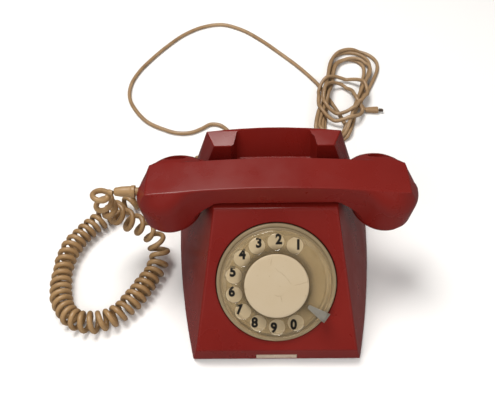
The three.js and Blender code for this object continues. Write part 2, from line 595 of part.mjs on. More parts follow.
function makeHandset() {
  let shell = solid(acrossY(barProfile(), -BAR_W / 2, BAR_W / 2, 9)).add(cupBody(-1)).add(cupBody(1));
  for (const side of [-1, 1]) {
    shell = shell.subtract(solid(onCup(rod(22, -20, 2, 0, 0, 20), side)));
    shell = shell.subtract(solid(onCup(rod(7, -2, 16, 0, 0, 16), side)));
    const dimple = new THREE.SphereGeometry(1, 14, 8).scale(8.5, 3, 3.4); // behind the bar
    shell = shell.subtract(solid(at(dimple, side * 83, 24.4, 114)));
  }
  shell = shell.subtract(solid(box(172, 9, 6, 0, 0, BAR_UNDER_Z + 6.4)));
  const hole = rod(GLAND_R + 0.4, 100, 125, 0, 0, 16).rotateY(-Math.PI / 2);
  shell = shell.subtract(solid(at(hole, 0, 0, RELIEF_Z)));
  add("handset_shell", shell, red, handset);

  const collar = 21.5;
  const cap = [
    [collar - 1.4, -8], [collar, -8], [collar, -14.4], [CAP_R, -14.4], [CAP_R, -18], [CAP_R - 3, -21],
    [8, -22.4], [0, -22.4], [0, -20.4], [8, -20.4], [CAP_R - 4.6, -19], [collar - 1.4, -17.2],
    [collar - 1.4, -8],
  ];
  const capNames = [["earpiece", -1], ["mouthpiece", 1]];
  for (const [what, side] of capNames) {
    let body = solid(lathe([...cap].reverse(), 22));
    for (let i = 0; i < 7; i++) {
      const [x, y] = i ? polar(9, i * 60) : [0, 0];
      body = body.subtract(solid(rod(1.3, -24, -18, x, y, 6)));
    }
    add(what + "_cap", onCup(geometryOf(body), side), redCap, handset);
  }
  const receiver = [[0, -16.4], [17, -16.4], [19.4, -15.4], [19.4, -8], [12, -5], [12, -1], [0, -1]];
  const transmitter = [[0, -16.4], [18, -16.4], [19.4, -15], [19.4, -7], [8, -3], [0, -3]];
  add("receiver_capsule", onCup(lathe(receiver, 14), -1), bellMetal, handset);
  add("transmitter_capsule", onCup(lathe(transmitter, 14), 1), bellMetal, handset);
  const relief = [
    [1.2, -7], [GLAND_R, -7], [GLAND_R, 0], [5, 0], [5, 3], [4.2, 4], [3.6, 17], [1.2, 17], [1.2, -7],
  ];
  const sleeve = lathe(relief, 14).rotateY(-Math.PI / 2);
  add("handset_relief", at(sleeve, -CUP_X - CUP_R - 0.8, 0, RELIEF_Z), cordTan, handset);
}

// ---- Cords ----
const CURLY_ROUTE = [
  [-132.4, 1.5, 101], [-137, 2, 100.5], [-142, 2.5, 97], [-143.5, 4, 89], [-141, 8, 73], [-132, 12, 55],
  [-119, 15, 38], [-109, 13, 23], [-105, 3, 13], [-107, -9, 10], [-115, -27, 10], [-126, -46, 10],
  [-139, -60, 10], [-156, -66, 10], [-174, -62, 10], [-187, -45, 10], [-192, -14, 10], [-189, 12, 10],
  [-178, 32, 10], [-163, 49, 10], [-145, 63, 10], [-127, 77, 10], [-109, 91, 10], [-93, 106, 10],
  [-79, 119, 10.5], [-68, 119.5, 11], [-66, 111, 11],
];
const LINE_END = [107, 205, 3.6]; // the cord enters its end sleeve here
const LINE_ROUTE = [
  [-34, 110.5, 11], [-34, 117, 9.5], [-34, 124, 6], [-34, 132, 3], [-36, 145, 2.2], [-40, 160, 2.2],
  [-46, 174, 2.2], [-55, 184, 2.2], [-66, 186, 2.2], [-76, 179, 2.2], [-88, 173, 2.2], [-103, 173, 2.2],
  [-120, 180, 2.2], [-137, 191, 2.2], [-152, 210, 2.2], [-162, 232, 2.2], [-163, 256, 2.2], [-156, 280, 2.2],
  [-143, 304, 2.2], [-127, 328, 2.2], [-107, 352, 2.2], [-84, 368, 2.2], [-59, 373, 2.2], [-33, 361, 2.2],
  [-8, 338, 2.2], [15, 311, 2.2], [35, 286, 2.2], [50, 264, 2.2], [59, 248, 2.2],
];

// The tied bundle, from above: two round ends of different radius, with straight sides between them.
const BUNDLE_NEAR = [68, 174];
const BUNDLE_FAR = [102, 286];
const BUNDLE_NEAR_R = 20;
const BUNDLE_FAR_R = 31;
const BUNDLE_DEPTH = 17;

function bundleOutline() {
  const [dx, dy] = [BUNDLE_FAR[0] - BUNDLE_NEAR[0], BUNDLE_FAR[1] - BUNDLE_NEAR[1]];
  const axis = Math.atan2(dy, dx);
  const spread = Math.PI / 2 + Math.asin((BUNDLE_FAR_R - BUNDLE_NEAR_R) / Math.hypot(dx, dy));
  const end = ([x, y], r, from, to) => {
    const steps = 12;
    return Array.from({ length: steps + 1 }, (_, i) => {
      const angle = from + ((to - from) * i) / steps;
      return [x + r * Math.cos(angle), y + r * Math.sin(angle)];
    });
  };
  return shapeOf([
    ...end(BUNDLE_FAR, BUNDLE_FAR_R, axis - spread, axis + spread),
    ...end(BUNDLE_NEAR, BUNDLE_NEAR_R, axis + spread, axis - spread + 2 * Math.PI),
  ]);
}

function makeCords() {
  add("curly_cord", tube(CURLY_ROUTE, CURLY_R, 8, 38), cordTan);
  const gland = [[1.2, 0], [5, 0], [5, 3.2], [GLAND_R, 3.2], [GLAND_R, 22], [2.6, 30], [1.2, 30], [1.2, 0]];
  for (const [name, x] of [["line_cord_gland", LINE_GLAND_X], ["curly_cord_gland", CURLY_GLAND_X]]) {
    add(name, at(lathe(gland, 16).rotateX(-Math.PI / 2), x, GLAND_START_Y, GLAND_Z), cordTan);
  }
  add("line_cord", tube(LINE_ROUTE, LINE_R, 8, 56), cordTan);
  const hankBody = new THREE.ExtrudeGeometry(bundleOutline(), { depth: BUNDLE_DEPTH, bevelEnabled: false });
  add("line_cord_hank", at(hankBody, 0, 0, 0.3), cordTan);
  const [endX, endY, endZ] = LINE_END;
  add("line_end_sleeve", box(15, 8, 5, endX + 7.5, endY, endZ), cordTan);
  add("line_end_tip", box(5, 3.4, 3, endX + 15 + GAP + 2.5, endY - 0.5, endZ), cordTip);
}

makeHousing();
makeBase();
makeLabel();
makeGovernor(makeDial());
makeCradle();
makeBells();
makeElectrics();
makeHandset();
makeCords();

export default phone;
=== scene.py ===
import math

import bmesh
import bpy
from mathutils import Matrix, Vector


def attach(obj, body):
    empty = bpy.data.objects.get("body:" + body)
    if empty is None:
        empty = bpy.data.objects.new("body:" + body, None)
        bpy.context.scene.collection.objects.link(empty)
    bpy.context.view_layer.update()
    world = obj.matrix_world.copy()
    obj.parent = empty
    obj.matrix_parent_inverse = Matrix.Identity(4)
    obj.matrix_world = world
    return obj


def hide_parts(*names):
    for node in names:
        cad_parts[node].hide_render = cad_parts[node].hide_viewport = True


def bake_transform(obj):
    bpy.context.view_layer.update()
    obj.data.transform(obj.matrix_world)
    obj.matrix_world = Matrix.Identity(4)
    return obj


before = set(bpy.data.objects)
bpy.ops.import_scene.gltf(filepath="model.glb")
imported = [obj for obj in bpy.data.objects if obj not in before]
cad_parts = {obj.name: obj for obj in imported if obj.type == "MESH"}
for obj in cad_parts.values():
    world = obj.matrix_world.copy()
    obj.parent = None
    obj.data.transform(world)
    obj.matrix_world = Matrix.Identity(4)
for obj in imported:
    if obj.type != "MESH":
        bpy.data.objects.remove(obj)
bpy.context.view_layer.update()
MM = 0.001
scene = bpy.context.scene


def vec(x, y, z):
    return Vector((x, y, z)) * MM


def at(x, y, z):
    return Matrix.Translation(vec(x, y, z))


# ---- camera
def make_camera():
    azimuth, height, roll = math.radians(1.6), math.radians(50), math.radians(-1.8)
    away = Vector((
        math.sin(azimuth) * math.cos(height),
        -math.cos(azimuth) * math.cos(height),
        math.sin(height),
    ))
    side = (-away).cross(Vector((0, 0, 1))).normalized()
    up = side.cross(-away)
    right = math.cos(roll) * side + math.sin(roll) * up
    top = -math.sin(roll) * side + math.cos(roll) * up
    camera = bpy.data.objects.new("camera", bpy.data.cameras.new("camera"))
    camera.data.sensor_width, camera.data.lens = 36, 47.22
    camera.data.clip_start, camera.data.clip_end = 0.01, 10
    place = Matrix((right, top, away)).transposed().to_4x4()
    place.translation = vec(-22.6, 0, 92.4) + away * 0.533
    camera.matrix_world = place
    scene.collection.objects.link(camera)
    scene.camera = camera


make_camera()


# ---- mesh helpers
def new_object(name, data, body="base"):
    obj = bpy.data.objects.new(name, data)
    scene.collection.objects.link(obj)
    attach(obj, body)
    return obj


def as_mesh(bm, name):
    """The bmesh as a mesh, its faces turned outwards; the bmesh is used up."""
    bmesh.ops.recalc_face_normals(bm, faces=bm.faces)
    mesh = bpy.data.meshes.new(name)
    bm.to_mesh(mesh)
    bm.free()
    return mesh


def smooth(mesh, angle=35):
    """Smooth faces, with edges sharper than the angle left crisp."""
    bm = bmesh.new()
    bm.from_mesh(mesh)
    limit = math.radians(angle)
    for face in bm.faces:
        face.smooth = True
    for edge in bm.edges:
        edge.smooth = len(edge.link_faces) == 2 and edge.calc_face_angle(0) < limit
    bm.to_mesh(mesh)
    bm.free()


def finish_mesh(bm, name, body="base", angle=35, weighted=False):
    mesh = as_mesh(bm, name)
    smooth(mesh, angle)
    obj = new_object(name, mesh, body)
    if weighted:
        mod = obj.modifiers.new("normals", "WEIGHTED_NORMAL")
        mod.mode, mod.weight, mod.keep_sharp = "FACE_AREA", 90, True
    return obj


def join_rings(bm, low, high):
    """Faces between two rings of as many vertices."""
    n = len(low)
    for k in range(n):
        bm.faces.new([low[k], low[(k + 1) % n], high[(k + 1) % n], high[k]])


def lathe(profile, steps, closed=False):
    """A bmesh turned about +Z from [radius, height] pairs in millimetres."""
    bm = bmesh.new()
    rings = []
    for r, z in profile:
        if r < 1e-6:
            rings.append([bm.verts.new(vec(0, 0, z))])
        else:
            rings.append([
                bm.verts.new(vec(r * math.cos(t), r * math.sin(t), z))
                for t in (2 * math.pi * i / steps for i in range(steps))
            ])
    pairs = list(zip(rings, rings[1:]))
    if closed:
        pairs.append((rings[-1], rings[0]))
    for low, high in pairs:
        for i in range(steps):
            j = (i + 1) % steps
            ids = [low[i % len(low)], low[j % len(low)], high[j % len(high)], high[i % len(high)]]
            face = list(dict.fromkeys(ids))
            if len(face) > 2:
                bm.faces.new(face)
    return bm


def rounded(points, radius, steps=4):
    """A 2-D polyline whose inner corners are rounded; radius may be one number or one per corner."""
    result = [points[0]]
    for i in range(1, len(points) - 1):
        r = radius[i - 1] if isinstance(radius, (list, tuple)) else radius
        a, b, c = (Vector(p) for p in points[i - 1:i + 2])
        into, out = (a - b), (c - b)
        cut = min(r, into.length * 0.49, out.length * 0.49)
        if cut < 1e-4:
            result.append(points[i])
            continue
        p, q = b + into.normalized() * cut, b + out.normalized() * cut
        for k in range(steps + 1):
            t = k / steps
            result.append(tuple(p * (1 - t) ** 2 + b * 2 * t * (1 - t) + q * t ** 2))
    result.append(points[-1])
    return result


def hull(points):
    bm = bmesh.new()
    for p in points:
        bm.verts.new(vec(*p))
    made = bmesh.ops.convex_hull(bm, input=bm.verts)
    loose = [g for g in made["geom_interior"] if isinstance(g, bmesh.types.BMVert)]
    bmesh.ops.delete(bm, geom=loose, context="VERTS")
    return bm


def plain(bm):
    """A passing object, to be cut or joined."""
    obj = bpy.data.objects.new("temp", as_mesh(bm, "temp"))
    scene.collection.objects.link(obj)
    return obj


def taken(obj):
    """The object's mesh as a bmesh; the object is removed."""
    bm = bmesh.new()
    bm.from_mesh(obj.data)
    bpy.data.objects.remove(obj)
    return bm


def combine(target, tool, operation):
    """Joins or cuts two closed objects; the tool is used up."""
    mod = target.modifiers.new("combine", "BOOLEAN")
    mod.operation, mod.solver, mod.object = operation, "EXACT", tool
    bake(target)
    bpy.data.objects.remove(tool)


def cut(target, bm):
    combine(target, plain(bm), "DIFFERENCE")


def drill(target, profile, x, y, steps):
    """Cuts a turned hole, upright at a place, out of an object."""
    hole = lathe(profile, steps)
    hole.transform(at(x, y, 0))
    cut(target, hole)


def dressed(obj, look, slot, *nodes):
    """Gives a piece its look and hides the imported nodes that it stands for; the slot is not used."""
    look.give(obj)
    if nodes:
        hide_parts(*nodes)
    return obj


def bake(obj):
    depsgraph = bpy.context.evaluated_depsgraph_get()
    mesh = bpy.data.meshes.new_from_object(obj.evaluated_get(depsgraph))
    obj.modifiers.clear()
    old, obj.data = obj.data, mesh
    bpy.data.meshes.remove(old)


def prism(outline, low, high):
    """A closed prism between two heights over an outline of [x, y] points."""
    bm = bmesh.new()
    bottom = [bm.verts.new(vec(x, y, low)) for x, y in outline]
    top = [bm.verts.new(vec(x, y, high)) for x, y in outline]
    bm.faces.new(bottom[::-1])
    bm.faces.new(top)
    join_rings(bm, bottom, top)
    return bm


# ---- main dimensions
FRONT_Y, LIP_TOP_Z, LIP_HALF = -97, 17.4, 65.5
BROW_Y, BROW_Z, BROW_HALF = -16.5, 101.7, 49.3
POST_Y, POST_Z, POST_HALF = 46, 108.8, 51
RIDGE_Y, RIDGE_BOW, RIDGE_Z, RIDGE_HALF = 60.7, 4.8, 112, 57.5
SADDLE_Z, SHOULDER_Z, SHOULDER_HALF = 93, 84, 65.9
FOOT_H, FOOT_HALF, REAR_Y = 3, 69, 97
CORNER_R, CORNER_Y = 20, 73  # the rear corners' arcs
GRIP_BACK_Y, GRIP_HALF, GRIP_FLARE, GRIP_CORNER_R = 62.3, 32.2, 36.8, 4.5
GRIP_FLOOR_Z = 90
GRIP_LEAN = 0.032  # share of the recess's depth lost per millimetre below the ridge
WALL = 2.5
PLUNGER_X, PLUNGER_Y, PLUNGER_HOLE_R = 38, 12, 4.5
LINE_GLAND_X, CURLY_GLAND_X, GLAND_START_Y, GLAND_Z, GLAND_HOLE_R = -34, -66, 80, 11, 3.8
FACE_SLOPE = math.atan2(BROW_Z - LIP_TOP_Z, BROW_Y - FRONT_Y)
DIAL_UP = 56.5  # from the lip to the dial's centre, up the face
DIAL_HOLE_R, DIAL_RIM_R = 48.8, 49.6  # the dial's opening, and its rounded edge
DIAL_PLACE = at(
    0, FRONT_Y + DIAL_UP * math.cos(FACE_SLOPE), LIP_TOP_Z + DIAL_UP * math.sin(FACE_SLOPE),
) @ Matrix.Rotation(FACE_SLOPE, 4, "X")


# ---- materials
def colour(r, g, b):
    """Linear colour from 0-255 sRGB."""
    def one(c):
        c /= 255
        return c / 12.92 if c <= 0.04045 else ((c + 0.055) / 1.055) ** 2.4
    return (one(r), one(g), one(b), 1)


class Look:
    """A procedural material, in the object's own coordinates."""

    def __init__(self, name, base, roughness=0.4, metallic=0.0, **sockets):
        self.mat = bpy.data.materials.new(name)
        self.mat.use_nodes = True
        self.nodes, self.links = self.mat.node_tree.nodes, self.mat.node_tree.links
        self.shader = self.nodes["Principled BSDF"]
        self.coords = self.nodes.new("ShaderNodeTexCoord").outputs["Object"]
        self.base = colour(*base)
        self.shader.inputs["Base Color"].default_value = self.base
        self.shader.inputs["Roughness"].default_value = roughness
        self.shader.inputs["Metallic"].default_value = metallic
        for key, value in sockets.items():
            self.shader.inputs[key.replace("_", " ")].default_value = value

    def node(self, kind, **inputs):
        """A new shader node; each input takes a value or is linked to another node's output."""
        made = self.nodes.new("ShaderNode" + kind)
        for name, value in inputs.items():
            if isinstance(value, bpy.types.NodeSocket):
                self.links.new(value, made.inputs[name])
            else:
                made.inputs[name].default_value = value
        return made

    def noise(self, scale, detail, roughness=0.5, stretch=None):
        source = self.coords
        if stretch:
            source = self.node("Mapping", Scale=stretch, Vector=source).outputs["Vector"]
        made = self.node("TexNoise", Scale=scale, Detail=detail, Roughness=roughness, Vector=source)
        return made.outputs["Fac"]

    def cracks(self, scale, width, wobble=0.004):
        """Thin dark lines between cells, bent by noise."""
        warp = self.node("TexNoise", Scale=scale * 2.3, Detail=4, Vector=self.coords)
        scaled = self.node("VectorMath")
        scaled.operation = "SCALE"
        scaled.inputs["Scale"].default_value = wobble
        self.links.new(warp.outputs["Color"], scaled.inputs[0])
        total = self.node("VectorMath")
        self.links.new(self.coords, total.inputs[0])
        self.links.new(scaled.outputs[0], total.inputs[1])
        cell = self.node("TexVoronoi", Scale=scale, Vector=total.outputs[0])
        cell.feature = "DISTANCE_TO_EDGE"
        return self.ramp(cell.outputs["Distance"], [(0, 1), (width, 0)])

    def dial_radius(self):
        """Distance from the dial's axis, where 1 is 50 mm."""
        mapping = self.nodes.new("ShaderNodeMapping")
        mapping.vector_type = "TEXTURE"
        mapping.inputs["Location"].default_value = DIAL_PLACE.translation
        mapping.inputs["Rotation"].default_value = (FACE_SLOPE, 0, 0)
        mapping.inputs["Scale"].default_value = (0.05, 0.05, 100)
        self.links.new(self.coords, mapping.inputs["Vector"])
        length = self.node("VectorMath")
        length.operation = "LENGTH"
        self.links.new(mapping.outputs["Vector"], length.inputs[0])
        return length.outputs["Value"]

    def ramp(self, source, stops):
        """Maps a value through grey stops."""
        node = self.node("ValToRGB", Fac=source)
        ramp = node.color_ramp
        while len(ramp.elements) < len(stops):
            ramp.elements.new(0.5)
        for element, (place, value) in zip(ramp.elements, stops):
            element.position, element.color = place, (value, value, value, 1)
        return node.outputs["Color"]

    def times(self, a, b):
        node = self.node("Math")
        node.operation = "MULTIPLY"
        self.links.new(a, node.inputs[0])
        self.links.new(b, node.inputs[1])
        return node.outputs[0]

    def tint(self, factor, other):
        """Mixes another colour over the base colour where the factor is high."""
        node = self.node("Mix")
        node.data_type = "RGBA"
        into = self.shader.inputs["Base Color"]
        if into.is_linked:
            self.links.new(into.links[0].from_socket, node.inputs["A"])
        else:
            node.inputs["A"].default_value = self.base
        node.inputs["B"].default_value = colour(*other)
        self.links.new(factor, node.inputs["Factor"])
        self.links.new(node.outputs["Result"], into)

    def mottle(self, other, scale, detail, low, high, amount, stretch=None):
        """Tints with another colour where noise of this scale climbs from low to high."""
        noise = self.noise(scale, detail, stretch=stretch)
        self.tint(self.ramp(noise, [(low, 0), (high, amount)]), other)

    def rough(self, scale, detail, low, high, stretch=None):
        """Lets the roughness wander between two values."""
        factor = self.noise(scale, detail, stretch=stretch)
        self.links.new(self.ramp(factor, [(0.35, low), (0.65, high)]), self.shader.inputs["Roughness"])

    def bump(self, scale, detail, strength, distance, roughness=0.5, stretch=None):
        height = self.noise(scale, detail, roughness, stretch)
        node = self.node("Bump", Strength=strength, Distance=distance, Height=height)
        self.links.new(node.outputs["Normal"], self.shader.inputs["Normal"])

    def give(self, *objects):
        for obj in objects:
            obj.data.materials.clear()
            obj.data.materials.append(self.mat)


def red_plastic(name, base, dust):
    look = Look(name, base, 0.28, Specular_IOR_Level=0.4)
    look.mottle(dust, 9, 4, 0.42, 0.75, 0.45)
    look.mottle((60, 12, 10), 520, 2, 0.73, 0.77, 0.18)
    look.rough(28, 5, 0.23, 0.36)
    look.bump(160, 2, 0.025, 0.00005, 0.6, stretch=(1, 9, 1))
    return look


RED = red_plastic("red_plastic", (108, 22, 17), (126, 35, 27))
RED_CAP = red_plastic("red_cap_plastic", (103, 22, 17), (121, 35, 28))

AMBER = Look("clear_amber", (200, 190, 168), 0.12, Transmission_Weight=0.95, IOR=1.45)
AMBER.rough(60, 4, 0.06, 0.16)
AMBER.mottle((168, 150, 116), 55, 4, 0.45, 0.72, 0.5)

PLATE = Look("number_plate_beige", (168, 152, 124), 0.42, Specular_IOR_Level=0.4)
PLATE.mottle((146, 129, 101), 40, 5, 0.4, 0.7, 0.5)
# painted shade: darker rings by the disc's edge and in the groove outside the wheel's rim
PAINTED_SHADE_RINGS = [(0.5, 0.9), (0.56, 0.6), (0.63, 0), (0.85, 0), (0.875, 0.75), (0.93, 0.6)]
# the darker beige of the painted shade, laid on by distance from the dial's axis
PLATE.tint(PLATE.ramp(PLATE.dial_radius(), PAINTED_SHADE_RINGS), (92, 76, 52))
PLATE.rough(90, 3, 0.34, 0.5)

IVORY = Look("ivory_disc", (181, 165, 139), 0.42, Specular_IOR_Level=0.4)
IVORY.mottle((176, 157, 128), 50, 5, 0.4, 0.75, 0.5)
IVORY.tint(IVORY.times(IVORY.cracks(44, 0.009), IVORY.ramp(IVORY.noise(75, 2), [(0.5, 0), (0.6, 0.7)])),
           (112, 92, 66))
IVORY.mottle((120, 98, 70), 620, 1, 0.76, 0.79, 0.5)
IVORY.rough(110, 4, 0.36, 0.55)

INK = Look("number_ink", (16, 14, 12), 0.5)
INK.rough(500, 2, 0.4, 0.6)

STEEL = Look("dull_steel", (166, 161, 150), 0.42, 0.6)
STEEL.mottle((110, 104, 92), 170, 4, 0.45, 0.7, 0.5)
STEEL.rough(240, 3, 0.3, 0.5, stretch=(1, 1, 14))

BRASS = Look("worn_brass", (178, 140, 74), 0.34, 0.9)
BRASS.mottle((126, 96, 54), 120, 4, 0.45, 0.7, 0.6)
BRASS.rough(200, 3, 0.26, 0.48)

BELL = Look("bell_metal", (168, 166, 158), 0.3, 0.9)
BELL.rough(90, 4, 0.2, 0.4, stretch=(1, 1, 6))

BLACK = Look("black_plastic", (34, 33, 32), 0.55)
BLACK.rough(150, 3, 0.45, 0.65)
BLACK.bump(900, 2, 0.1, 0.00005)

RUBBER = Look("foot_rubber", (40, 38, 36), 0.85)
RUBBER.mottle((66, 62, 58), 300, 3, 0.5, 0.7, 0.4)
RUBBER.bump(1200, 2, 0.2, 0.00006)

BOARD = Look("circuit_board", (120, 84, 44), 0.6)
BOARD.mottle((150, 112, 66), 260, 2, 0.48, 0.56, 0.5, stretch=(1, 6, 1))

COPPER = Look("copper_winding", (150, 78, 42), 0.36, 0.6)
COPPER.bump(400, 1, 0.5, 0.0002, stretch=(12, 1, 1))
COPPER.rough(100, 3, 0.28, 0.46)

CARD = Look("card", (208, 196, 172), 0.8)
CARD.mottle((184, 168, 138), 130, 5, 0.4, 0.7, 0.5)
CARD.bump(2200, 2, 0.15, 0.00004)

LABEL = Look("label_window", (182, 164, 146), 0.3)
LABEL.mottle((160, 140, 120), 90, 3, 0.4, 0.7, 0.4)
LABEL.rough(200, 3, 0.22, 0.4)


def cord_look(name, base, light, dark):
    look = Look(name, base, 0.42, Coat_Weight=0.1, Coat_Roughness=0.3)
    look.mottle(light, 26, 4, 0.45, 0.75, 0.6)
    look.mottle(dark, 70, 5, 0.52, 0.78, 0.55)
    look.rough(120, 3, 0.34, 0.52)
    look.bump(700, 2, 0.08, 0.00008)
    return look


CURLY_TAN = cord_look("curly_cord_tan", (148, 116, 77), (168, 138, 98), (98, 72, 44))
LINE_TAN = cord_look("line_cord_tan", (150, 121, 88), (178, 152, 120), (98, 74, 50))
TIP = Look("cord_tip_dark", (70, 58, 46), 0.45)
TIP.rough(300, 3, 0.35, 0.6)


# ---- cords
DENSE = 24  # steps between two of a route's points, before even spacing


def between(p, q, start, end, t):
    """The point at t on the line that is at p at the start and at q at the end."""
    return p * ((end - t) / (end - start)) + q * ((t - start) / (end - start))


def smooth_path(points, step):
    """A centripetal curve through the points, resampled at equal steps, in metres."""
    pts = [Vector(p) for p in points]
    pts = [2 * pts[0] - pts[1], *pts, 2 * pts[-1] - pts[-2]]
    dense = []
    for a, b, c, d in zip(pts, pts[1:], pts[2:], pts[3:]):
        t0 = 0.0
        t1 = t0 + max((b - a).length, 1e-6) ** 0.5
        t2 = t1 + max((c - b).length, 1e-6) ** 0.5
        t3 = t2 + max((d - c).length, 1e-6) ** 0.5
        for k in range(DENSE):
            t = t1 + (t2 - t1) * k / DENSE
            a1, a2, a3 = between(a, b, t0, t1, t), between(b, c, t1, t2, t), between(c, d, t2, t3, t)
            b1, b2 = between(a1, a2, t0, t2, t), between(a2, a3, t1, t3, t)
            dense.append(between(b1, b2, t1, t2, t))
    dense.append(pts[-2])
    reach = [0.0]
    for a, b in zip(dense, dense[1:]):
        reach.append(reach[-1] + (b - a).length)
    count = max(2, round(reach[-1] / step))
    result, j = [], 0
    for i in range(count + 1):
        want = reach[-1] * i / count
        while j < len(reach) - 2 and reach[j + 1] < want:
            j += 1
        t = (want - reach[j]) / max(reach[j + 1] - reach[j], 1e-9)
        result.append((dense[j].lerp(dense[j + 1], min(max(t, 0), 1))) * MM)
    return result


def frames_along(path):
    """Two side vectors at each point, which turn as little as possible along the path."""
    tangents = [(b - a).normalized() for a, b in zip([path[0], *path], [*path[1:], path[-1]])]
    first = Vector((0, 0, 1)) if abs(tangents[0].z) < 0.9 else Vector((0, 1, 0))
    side = (first - tangents[0] * first.dot(tangents[0])).normalized()
    result = []
    for t in tangents:
        side = (side - t * side.dot(t)).normalized()
        result.append((side, t.cross(side)))
    return result


def tube_mesh(name, path, radius, sides=10):
    """A closed tube round a path."""
    bm = bmesh.new()
    rings = []
    for p, (u, v) in zip(path, frames_along(path)):
        rings.append([
            bm.verts.new(p + u * radius * math.cos(a) + v * radius * math.sin(a))
            for a in (2 * math.pi * k / sides for k in range(sides))
        ])
    for low, high in zip(rings, rings[1:]):
        join_rings(bm, low, high)
    bm.faces.new(rings[0][::-1])
    bm.faces.new(rings[-1])
    mesh = as_mesh(bm, name)
    smooth(mesh, 60)
    return mesh


CURLY_ROUTE = [
    (-132.4, 1.5, 101), (-137, 2, 100.5), (-142, 2.5, 97), (-143.5, 4, 89), (-141, 8, 73), (-132, 12, 55),
    (-119, 15, 38), (-109, 13, 23), (-105, 3, 13), (-107, -9, 10), (-115, -27, 10), (-126, -46, 10),
    (-139, -60, 10), (-156, -66, 10), (-174, -62, 10), (-187, -45, 10), (-192, -14, 10), (-189, 12, 10),
    (-178, 32, 10), (-163, 49, 10), (-145, 63, 10), (-127, 77, 10), (-109, 91, 10), (-93, 106, 10),
    (-79, 119, 10.5), (-68, 119.5, 11), (-66, 111, 11),
]
CURLY_WIRE = 4.7
COIL_R = 7.3
COIL_STEP = 0.5  # along the route, between the coil's turning points
COIL_SIDES = 22  # most points in one turn of the coil
LINE_WIRE = 4.2


def make_curly_cord():
    """The coiled cord: its wire winds round the route, tightly where it lies and loosely where it hangs."""
    core = smooth_path(CURLY_ROUTE, COIL_STEP)
    total = len(core) - 1
    path, phase = [], 0.0
    for i, (p, (u, v)) in enumerate(zip(core, frames_along(core))):
        along = i * COIL_STEP
        left = (total - i) * COIL_STEP
        ends = min(1, along / 14, left / 26)  # the coil runs out straight at both ends
        ends = ends * ends * (3 - 2 * ends)
        loose = 1 - min(1, max(0, (along - 95) / 35))  # 1 where it hangs
        far = min(1, max(0, (along - 330) / 60))  # 1 behind the housing
        pitch = 7.5 + 5.8 * loose + 3.4 * far + 0.5 * math.sin(along * 0.071) * (1 - loose)
        turn = 2 * math.pi * COIL_STEP / pitch
        wobble = 1 + 0.05 * math.sin(along * 0.13) + 0.03 * math.sin(along * 0.31 + 1)
        radius = COIL_R * ends * wobble
        pieces = max(1, round(turn / (2 * math.pi / COIL_SIDES)))
        for k in range(pieces):
            angle = phase + turn * k / pieces
            centre = p.lerp(core[min(i + 1, total)], k / pieces)
            path.append(centre + (u * math.cos(angle) + v * math.sin(angle)) * radius * MM)
        phase += turn
    floor = CURLY_WIRE / 2 + 0.15
    path = [Vector((p.x, p.y, max(p.z, floor * MM))) for p in path]
    mesh = tube_mesh("curly_cord_wire", path, CURLY_WIRE / 2 * MM)
    wire = bpy.data.objects.new("curly_cord_wire", mesh)
    scene.collection.objects.link(wire)
    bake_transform(wire)
    return dressed(wire, CURLY_TAN, "cord_tan", "curly_cord"), path


LINE_ROUTE = [
    (-34, 110.5, 11), (-34, 117, 9.5), (-34, 124, 6), (-34, 132, 3), (-36, 145, 2.2), (-40, 160, 2.2),
    (-46, 174, 2.2), (-55, 184, 2.2), (-66, 186, 2.2), (-76, 179, 2.2), (-88, 173, 2.2), (-103, 173, 2.2),
    (-120, 180, 2.2), (-137, 191, 2.2), (-152, 210, 2.2), (-162, 232, 2.2), (-163, 256, 2.2),
    (-156, 280, 2.2), (-143, 304, 2.2), (-127, 328, 2.2), (-107, 352, 2.2), (-84, 368, 2.2), (-59, 373, 2.2),
    (-33, 361, 2.2), (-8, 338, 2.2), (15, 311, 2.2), (35, 286, 2.2), (50, 264, 2.2), (59, 248, 2.2),
]
# the tied bundle, from above: loops between its two round ends, then loops round its waist
NEAR_END, FAR_END = Vector((68, 174)), Vector((102, 286))
NEAR_R, FAR_R = 17.6, 28.5
# each loop's start and end as shares of the bundle's length, how far it is drawn in, its tilt in degrees
# and its sides' bow
LOOPS = [
    (0.02, 0.93, 10, 4, 1.5), (0, 1, 5, 4, 1), (0.03, 0.9, 7, -1.5, -1.5), (0, 1, 1, -1.5, 0),
    (0.3, 0.5, -6, 5, 0), (0.36, 0.5, 2, 2, 0),
]
LINE_TAIL = [
    (72, 244, 2.2), (85, 246, 2.2), (94, 236, 2.2), (96, 222, 2.2), (99.5, 211, 2.2), (106.5, 205.4, 2.2),
]
END_Z = 3.6  # the middle of the end sleeve


def bundle_radius(share, inset):
    """Half the bundle's width at a share of its length, drawn in by the inset, most at the far end."""
    return NEAR_R + (FAR_R - NEAR_R) * share - inset * (0.5 + 0.5 * share)


def bundle_loop(first, last, inset, tilt, bow, following):
    """One flat loop: round its near end, up its left side, round its far end and down its right side.

    Down the right side it moves over to the following loop's inset, so that one leads smoothly into the next.
    """
    middle = NEAR_END.lerp(FAR_END, (first + last) / 2)
    half = (FAR_END - NEAR_END).length * (last - first) / 2
    along = Matrix.Rotation(math.radians(tilt), 2) @ (FAR_END - NEAR_END).normalized()
    across = Vector((along.y, -along.x))
    near, far = bundle_radius(first, inset), bundle_radius(last, inset)
    back = bundle_radius(first, following)
    points = []
    for end, r, onward in ((-1, near, far), (1, far, back)):
        for k in range(7):
            angle = math.pi * (k / 6 - 0.5)
            forth, aside = half + r * math.cos(angle), r * math.sin(angle)
            points.append(middle + along * end * forth + across * end * aside)
        for run in (0.35, 0.65):
            aside = r + (onward - r) * run + bow * math.sin(math.pi * run)
            points.append(middle + along * end * half * (1 - 2 * run) + across * end * aside)
    return [(x, y, LINE_WIRE / 2 + 0.1) for x, y in points]


def bundle():
    """Two nested pairs of long loops cross each other; the waist loops and the cord's end lie on top."""
    points = []
    insets = [loop[2] for loop in LOOPS[1:]] + [LOOPS[-1][2]]
    for loop, following in zip(LOOPS, insets):
        points += bundle_loop(*loop, following)
    return points[:-9] + LINE_TAIL  # the last loop is left half way, for the cord's end


